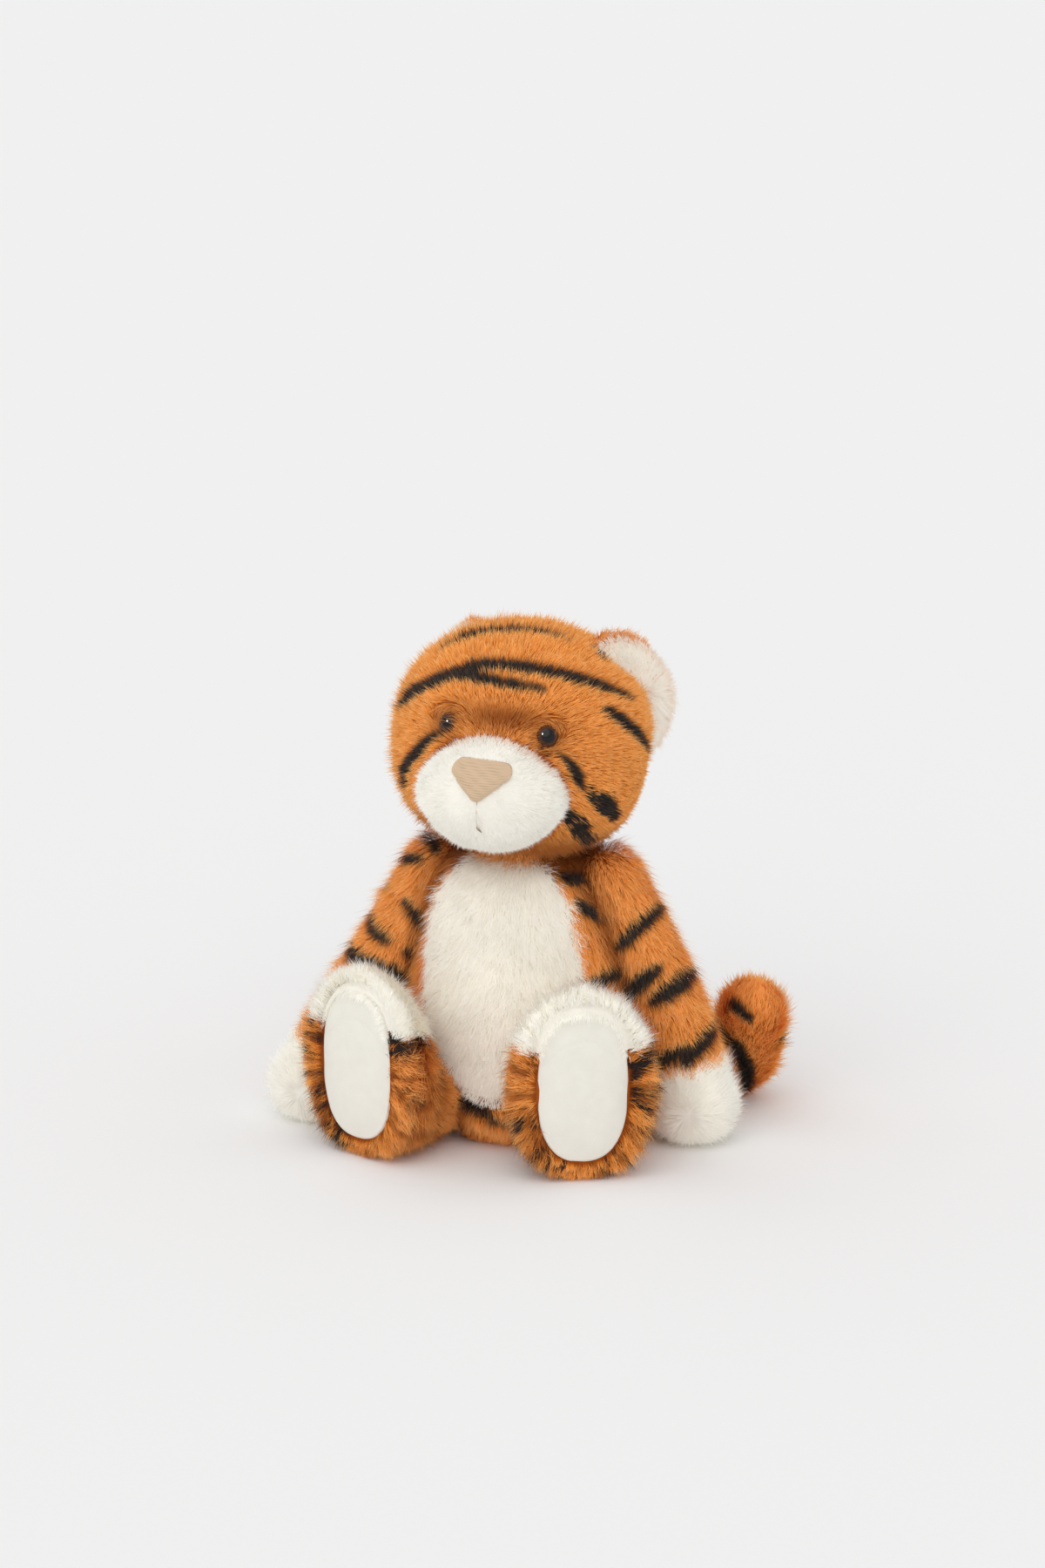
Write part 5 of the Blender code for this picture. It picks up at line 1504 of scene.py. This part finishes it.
def make_arms():
    """Floppy arms: a tube along a bowed line, orange to the wrist seam and white below."""
    forms = bpy.context.scene.plush_forms
    pile = bpy.context.scene.plush_pile
    for side in (LEFT, RIGHT):
        name = SIDE_NAMES[side]
        spine, radii = arm_spine(side)
        surface = settled(capsule(spine, radii - forms.inset))
        start, way = spine[0], spine[-1] - spine[0]

        def share(points):
            """0 at the shoulder and 1 at the paw's middle, with a seam that wavers."""
            wobble = wave_noise(points, 0.010, 31) * 0.012
            level = (points[:, 2] - start[2]) / way[2]
            return 0.40 * (points - start) @ way / (way @ way) + 0.60 * level + wobble

        def comb(points, normals):
            return np.repeat(unit(way)[None], len(points), axis=0)

        def fluffed(points, normals):
            """The paw's pile spreads from its front like a ball's, up over the wrist seam too."""
            return unit(points - spine[-1] + Y_AXIS * 0.020) - unit(way) * 0.35

        def pressed(points):
            return trimmed(points, 0.30, 0.5, 0.014)

        def cuff(points):
            """The sleeve's pile is short above the wrist seam."""
            return pressed(points) * growing(share(points), 0.74, PAW_SEAM, 1.0, 0.5)

        def painted_crease_shade(points):
            """Painted shade: deeper orange in three steps towards the torso, which shuts the light
            out there.
            """
            return sum(inside_torso(points, margin) for margin in (0.002, 0.005, 0.009)) * 0.32

        lines = in_metres(ARM_STRIPES[side]) + bands(surface, ARM_BANDS[side])
        sleeve = plush(f"{name}_arm_plush", surface, orange_pile(), 30 + side, pile.body, comb,
                       lambda points: share(points) < PAW_SEAM, cuff, lines,
                       lean=(36, 66), tint=painted_crease_shade)
        dress(sleeve, f"{name}_arm",
              (f"{name}_arm_cover", f"{name}_arm_filling"))
        paw = plush(f"{name}_paw_plush", surface, white_pile(), 34 + side, pile.paw, fluffed,
                    lambda points: share(points) >= PAW_SEAM, pressed, density=1.35,
                    lean=(42, 68), wild=0.26, swirl=0.5, pull=0.22)
        dress(paw, f"{name}_arm", (f"{name}_paw_cover",))


def make_legs():
    """Thick feet round a smooth sole: orange below the toe seam and white above it."""
    forms = bpy.context.scene.plush_forms
    pile = bpy.context.scene.plush_pile
    sole_lift = forms.foot_height / 2 + SOLE_RISE - FLOOR_SINK
    for side in (LEFT, RIGHT):
        name = SIDE_NAMES[side]
        surface = leg_surface(side)
        middle, across, ahead = (rows[0] for rows in leg_frame(side, np.array([1.0])))

        def forward(points):
            return (points - middle) @ ahead

        def oval(points):
            """1 on the edge of the sole, less inside it."""
            aside = (points - middle) @ across / (forms.sole_width / 2 + 0.0005)
            high = (points[:, 2] - sole_lift) / (forms.sole_height / 2 + 0.0005)
            sum_of_powers = np.abs(aside) ** SOLE_POWER + np.abs(high) ** SOLE_POWER
            return sum_of_powers ** (1 / SOLE_POWER)

        def bare(points):
            return (oval(points) < 1) & (forward(points) > -0.006)

        def toes(points):
            wobble = wave_noise(points, 0.012, 41) * 0.0012
            return (points[:, 2] + wobble > TOE_SEAM) & (forward(points) > -0.032)

        def comb(points, normals, fold=0.75):
            """Back over the thigh; it stands up along the sole's edge and leans out beyond it."""
            rim = smooth_step(forward(points), -0.030, -0.004)[:, None]
            lip = (1 - smooth_step(oval(points), 1.00, 1.10))[:, None] * rim
            out = points - middle - Z_AXIS * forms.foot_height / 2
            out = unit(out - np.outer(out @ ahead, ahead))
            back = unit(-ahead * 0.6 - Z_AXIS * 0.7)
            return back * (1 - rim) + out * rim * (1 - fold * lip) + ahead * rim * 0.35

        def size(points):
            """Short beside the torso, the floor and the sole, and a little so on the thigh."""
            thigh = growing(forward(points), -0.045, -0.022, 0.80)
            edge = growing(oval(points), 1.02, 1.12, 0.58)
            edge = np.where(forward(points) > -0.006, edge, 1.0)
            return trimmed(points, 0.35, 0.40, 0.016) * thigh * edge

        def round_foot(points):
            """Turn round the sole, 0 across and 90 degrees up, and how far on the foot."""
            turn = np.arctan2(points[:, 2] - forms.foot_height / 2, (points - middle) @ across)
            return turn, smooth_step(forward(points), -0.046, -0.028)

        def streaks(points, seed):
            """Noise drawn out along the pile: fine round the foot and long across it."""
            turn, _ = round_foot(points)
            drawn = np.column_stack([np.cos(turn) * 0.040, np.sin(turn) * 0.040,
                                     forward(points) * 0.45])
            return wave_noise(drawn, 0.0085, seed) * 0.7 + wave_noise(points, 0.005, seed + 1) * 0.4

        def tan(points):
            """Brown patches mixed into the foot's orange."""
            return smooth_step(streaks(points, 43), -0.3, 0.7) * round_foot(points)[1] * 0.8

        def black(points):
            """Share of dark tufts, highest under the heel and at the outer side."""
            turn, foot = round_foot(points)
            place = np.zeros(len(points))
            for degrees, spread, weight in FOOT_DARKS[side]:
                away = np.abs((turn - math.radians(degrees) + math.pi) % (2 * math.pi) - math.pi)
                place = np.maximum(place, weight * np.exp(-(away / math.radians(spread)) ** 2))
            return (0.05 + 0.48 * place + 0.18 * streaks(points, 53)) * foot

        heel = plush(f"{name}_leg_plush", surface, orange_pile(), 50 + side, pile.foot, comb,
                     lambda points: ~bare(points) & ~toes(points), size,
                     bands(surface, LEG_BANDS), lean=(34, 64), wild=0.28, tint=tan, dark=black,
                     pull=0.36)
        dress(heel, f"{name}_leg",
              (f"{name}_leg_cover", f"{name}_leg_filling"))
        cap = plush(f"{name}_toe_plush", surface, white_pile(), 54 + side, pile.paw * 1.15,
                    lambda points, normals: comb(points, normals, 1.6),
                    lambda points: ~bare(points) & toes(points), size, density=1.5,
                    lean=(36, 64), wild=0.28, swirl=0.5, pull=0.20)
        dress(cap, f"{name}_leg", (f"{name}_toe_cover",))


def make_soles():
    """Oval velour patches, a little domed, with a shallow arc of seam near the toes."""
    forms = bpy.context.scene.plush_forms
    velour = velour_material("sole velour", bpy.context.scene.plush_colours.velour)
    sole_lift = forms.foot_height / 2 + SOLE_RISE - FLOOR_SINK
    rings, columns = 40, 96
    turn = np.arange(columns) * (2 * math.pi / columns)
    size = np.concatenate([[1.02], np.linspace(1, 0, rings)])
    for side in (LEFT, RIGHT):
        name = SIDE_NAMES[side]
        middle, across, ahead = (rows[0] for rows in leg_frame(side, np.array([1.0])))
        across_share, up_share = (np.sign(wave) * np.abs(wave) ** (2 / SOLE_POWER)
                                  for wave in (np.cos(turn), np.sin(turn)))
        x = np.outer(size, across_share) * (forms.sole_width / 2 + 0.0006)
        z = np.outer(size, up_share) * (forms.sole_height / 2 + 0.0006)
        dome = SOLE_BULGE * (1 - np.clip(size, 0, 1) ** 2.6)[:, None] * np.ones_like(x)
        # The seam's arc is a shallow groove that sinks to both sides.
        arc = z - (forms.sole_height * 0.33 - x**2 / 0.030)
        dome = dome - 0.00035 * np.exp(-(arc / 0.0007) ** 2) * (size < 0.93)[:, None]
        soft = np.column_stack([x.ravel(), z.ravel(), np.full(x.size, 0.01 * side)])
        dome = dome + (wave_noise(soft, 0.016, 61) * 0.00022).reshape(x.shape)
        # The patch's own edge turns in under the pile.
        dome[0] = -SOLE_RIM
        surface = (middle + Z_AXIS * sole_lift + x[:, :, None] * across
                   + z[:, :, None] * Z_AXIS + dome[:, :, None] * ahead)
        item = make_grid(f"{name}_sole_velour", surface, velour)
        dress(item, f"{name}_leg", (f"{name}_sole",))


def make_tail():
    """A thick tail along the floor with a curled end, ringed with dark stripes."""
    forms = bpy.context.scene.plush_forms
    pile = bpy.context.scene.plush_pile
    spine, radii = tail_spine()
    surface = settled(capsule(spine, radii - forms.inset))
    ways = unit(np.gradient(spine, axis=0))

    def comb(points, normals):
        """Along the nearest part of the spine, every fourth place of which is tried."""
        away = np.sum((points[:, None] - spine[None, ::4]) ** 2, axis=2)
        return ways[::4][np.argmin(away, axis=1)] + Z_AXIS * 0.5

    cover = plush("tail_plush", surface, orange_pile(), 70, pile.foot, comb, everywhere,
                  lambda points: trimmed(points, 0.35, 0.45, 0.014),
                  in_metres(TAIL_STRIPES) + bands(surface, TAIL_BANDS), lean=(48, 75),
                  wild=0.24, pull=0.36)
    dress(cover, "tail", ("tail_cover", "tail_filling"))


# degrees round the toy and above the floor, then metres aside, up and back from the origin
CAMERA_TURNS, CAMERA_PLACE = (16, 14), (-0.00273, 0.17477, 1.932)


def add_sun(name, strength, degrees, direction):
    """A lamp that shines along a direction; degrees is how wide it looks from the toy."""
    sun = bpy.data.lights.new(name, "SUN")
    sun.energy, sun.angle = strength, math.radians(degrees)
    lamp = bpy.data.objects.new(name, sun)
    lamp.rotation_euler = Vector(direction).to_track_quat("-Z", "Y").to_euler()
    bpy.context.scene.collection.objects.link(lamp)
    return lamp


def make_stage():
    """A pale floor without an edge in view, a broad soft lamp, a gloss lamp and the camera."""
    bpy.ops.mesh.primitive_plane_add(size=40)
    floor = bpy.context.object
    floor.name = "studio_floor"
    material, tree = new_material("matt paper floor")
    grain = mix(tree, noise(tree, 0.003), flat_tone("F5F5F5"), flat_tone("F3F3F3"))
    set_surface(tree, grain, 1.0, 0.0)
    floor.data.materials.append(material)

    # From above and in front.
    add_sun("key", 0.92, 70, (0.02, 0.75, -0.66))
    # It gives gloss alone, which shows as the glint in each bead.
    glint = add_sun("glint", 3.0, 11, (0.45, 0.78, -0.44))
    glint.visible_diffuse = glint.visible_transmission = False

    world = bpy.data.worlds.new("studio")
    bpy.context.scene.world = world
    world.use_nodes = True
    background = world.node_tree.nodes["Background"]
    background.inputs["Color"].default_value = flat_tone("FFFFFF")
    background.inputs["Strength"].default_value = 0.77

    camera = bpy.data.objects.new("camera", bpy.data.cameras.new("camera"))
    bpy.context.scene.collection.objects.link(camera)
    bpy.context.scene.camera = camera
    around, above = (math.radians(turn) for turn in CAMERA_TURNS)
    back = Vector((math.sin(around) * math.cos(above), -math.cos(around) * math.cos(above),
                   math.sin(above)))
    right = Vector((math.cos(around), math.sin(around), 0))
    up = back.cross(right)
    aside, rise, distance = CAMERA_PLACE
    camera.location = right * aside + up * rise + back * distance
    camera.rotation_euler = back.to_track_quat("Z", "Y").to_euler()
    camera.data.lens = 85
    camera.data.sensor_width = 36
    bpy.context.scene.view_settings.view_transform = "Standard"


class PlushStep:
    """What every operator here shares: it makes its pieces and fails where they are missing."""

    bl_options = {"REGISTER"}
    makers = ()
    made = ()

    def execute(self, context):
        for maker in self.makers:
            maker()
        missing = [name for name in self.made if name not in bpy.data.objects]
        if missing:
            raise RuntimeError(f"{self.bl_label}: not made: {missing}")
        return {"FINISHED"}


class PLUSH_OT_torso(PlushStep, bpy.types.Operator):
    """Makes the torso's pile, the belly panel and the neck"""

    bl_idname = "plush.torso"
    bl_label = "Torso"
    makers = (make_torso,)
    made = ("torso_plush", "belly_plush", "neck_plush")


class PLUSH_OT_head(PlushStep, bpy.types.Operator):
    """Makes the head's pile and the muzzle"""

    bl_idname = "plush.head"
    bl_label = "Head and muzzle"
    makers = (make_head, make_muzzle)
    made = ("head_plush", "muzzle_plush")


class PLUSH_OT_face(PlushStep, bpy.types.Operator):
    """Makes the nose, the mouth thread and the eye beads"""

    bl_idname = "plush.face"
    bl_label = "Nose, mouth and eyes"
    makers = (make_nose, make_mouth, make_eyes)
    made = ("nose_velour", "mouth_thread", "left_bead_eye", "right_bead_eye")


class PLUSH_OT_ears(PlushStep, bpy.types.Operator):
    """Makes the ears' backs and linings"""

    bl_idname = "plush.ears"
    bl_label = "Ears"
    makers = (make_ears,)
    made = ("left_ear_back_plush", "right_ear_lining_plush")


class PLUSH_OT_arms(PlushStep, bpy.types.Operator):
    """Makes the arms and paws"""

    bl_idname = "plush.arms"
    bl_label = "Arms and paws"
    makers = (make_arms,)
    made = ("left_arm_plush", "right_paw_plush")


class PLUSH_OT_legs(PlushStep, bpy.types.Operator):
    """Makes the legs, toe caps and velour soles"""

    bl_idname = "plush.legs"
    bl_label = "Legs, toes and soles"
    makers = (make_legs, make_soles)
    made = ("left_leg_plush", "right_toe_plush", "left_sole_velour")


class PLUSH_OT_tail(PlushStep, bpy.types.Operator):
    """Makes the ringed tail"""

    bl_idname = "plush.tail"
    bl_label = "Tail"
    makers = (make_tail,)
    made = ("tail_plush",)


class PLUSH_OT_stage(PlushStep, bpy.types.Operator):
    """Makes the floor, the lights and the camera"""

    bl_idname = "plush.stage"
    bl_label = "Studio"
    makers = (make_stage,)
    made = ("studio_floor",)


STEPS = (PLUSH_OT_torso, PLUSH_OT_head, PLUSH_OT_face, PLUSH_OT_ears, PLUSH_OT_arms,
         PLUSH_OT_legs, PLUSH_OT_tail, PLUSH_OT_stage)
SETTINGS = {"plush_forms": PlushForms, "plush_pile": PlushPile, "plush_colours": PlushColours}


class PLUSH_PT_panel(bpy.types.Panel):
    """Lists the settings and the steps in order"""

    bl_idname = "PLUSH_PT_panel"
    bl_label = "Plush Tiger"
    bl_space_type = "VIEW_3D"
    bl_region_type = "UI"
    bl_category = "Plush Tiger"

    def draw(self, context):
        for key, kind in SETTINGS.items():
            box = self.layout.box()
            for name in kind.__annotations__:
                box.prop(getattr(context.scene, key), name)
        for step in STEPS:
            self.layout.operator(step.bl_idname)


def register():
    for kind in (*SETTINGS.values(), *STEPS, PLUSH_PT_panel):
        bpy.utils.register_class(kind)
    for key, kind in SETTINGS.items():
        setattr(bpy.types.Scene, key, PointerProperty(type=kind))


def unregister():
    for key in SETTINGS:
        delattr(bpy.types.Scene, key)
    for kind in (PLUSH_PT_panel, *reversed(STEPS), *SETTINGS.values()):
        bpy.utils.unregister_class(kind)


def main():
    register()
    for step in STEPS:
        getattr(bpy.ops.plush, step.bl_idname.split(".")[1])()


if __name__ == "__main__":
    main()
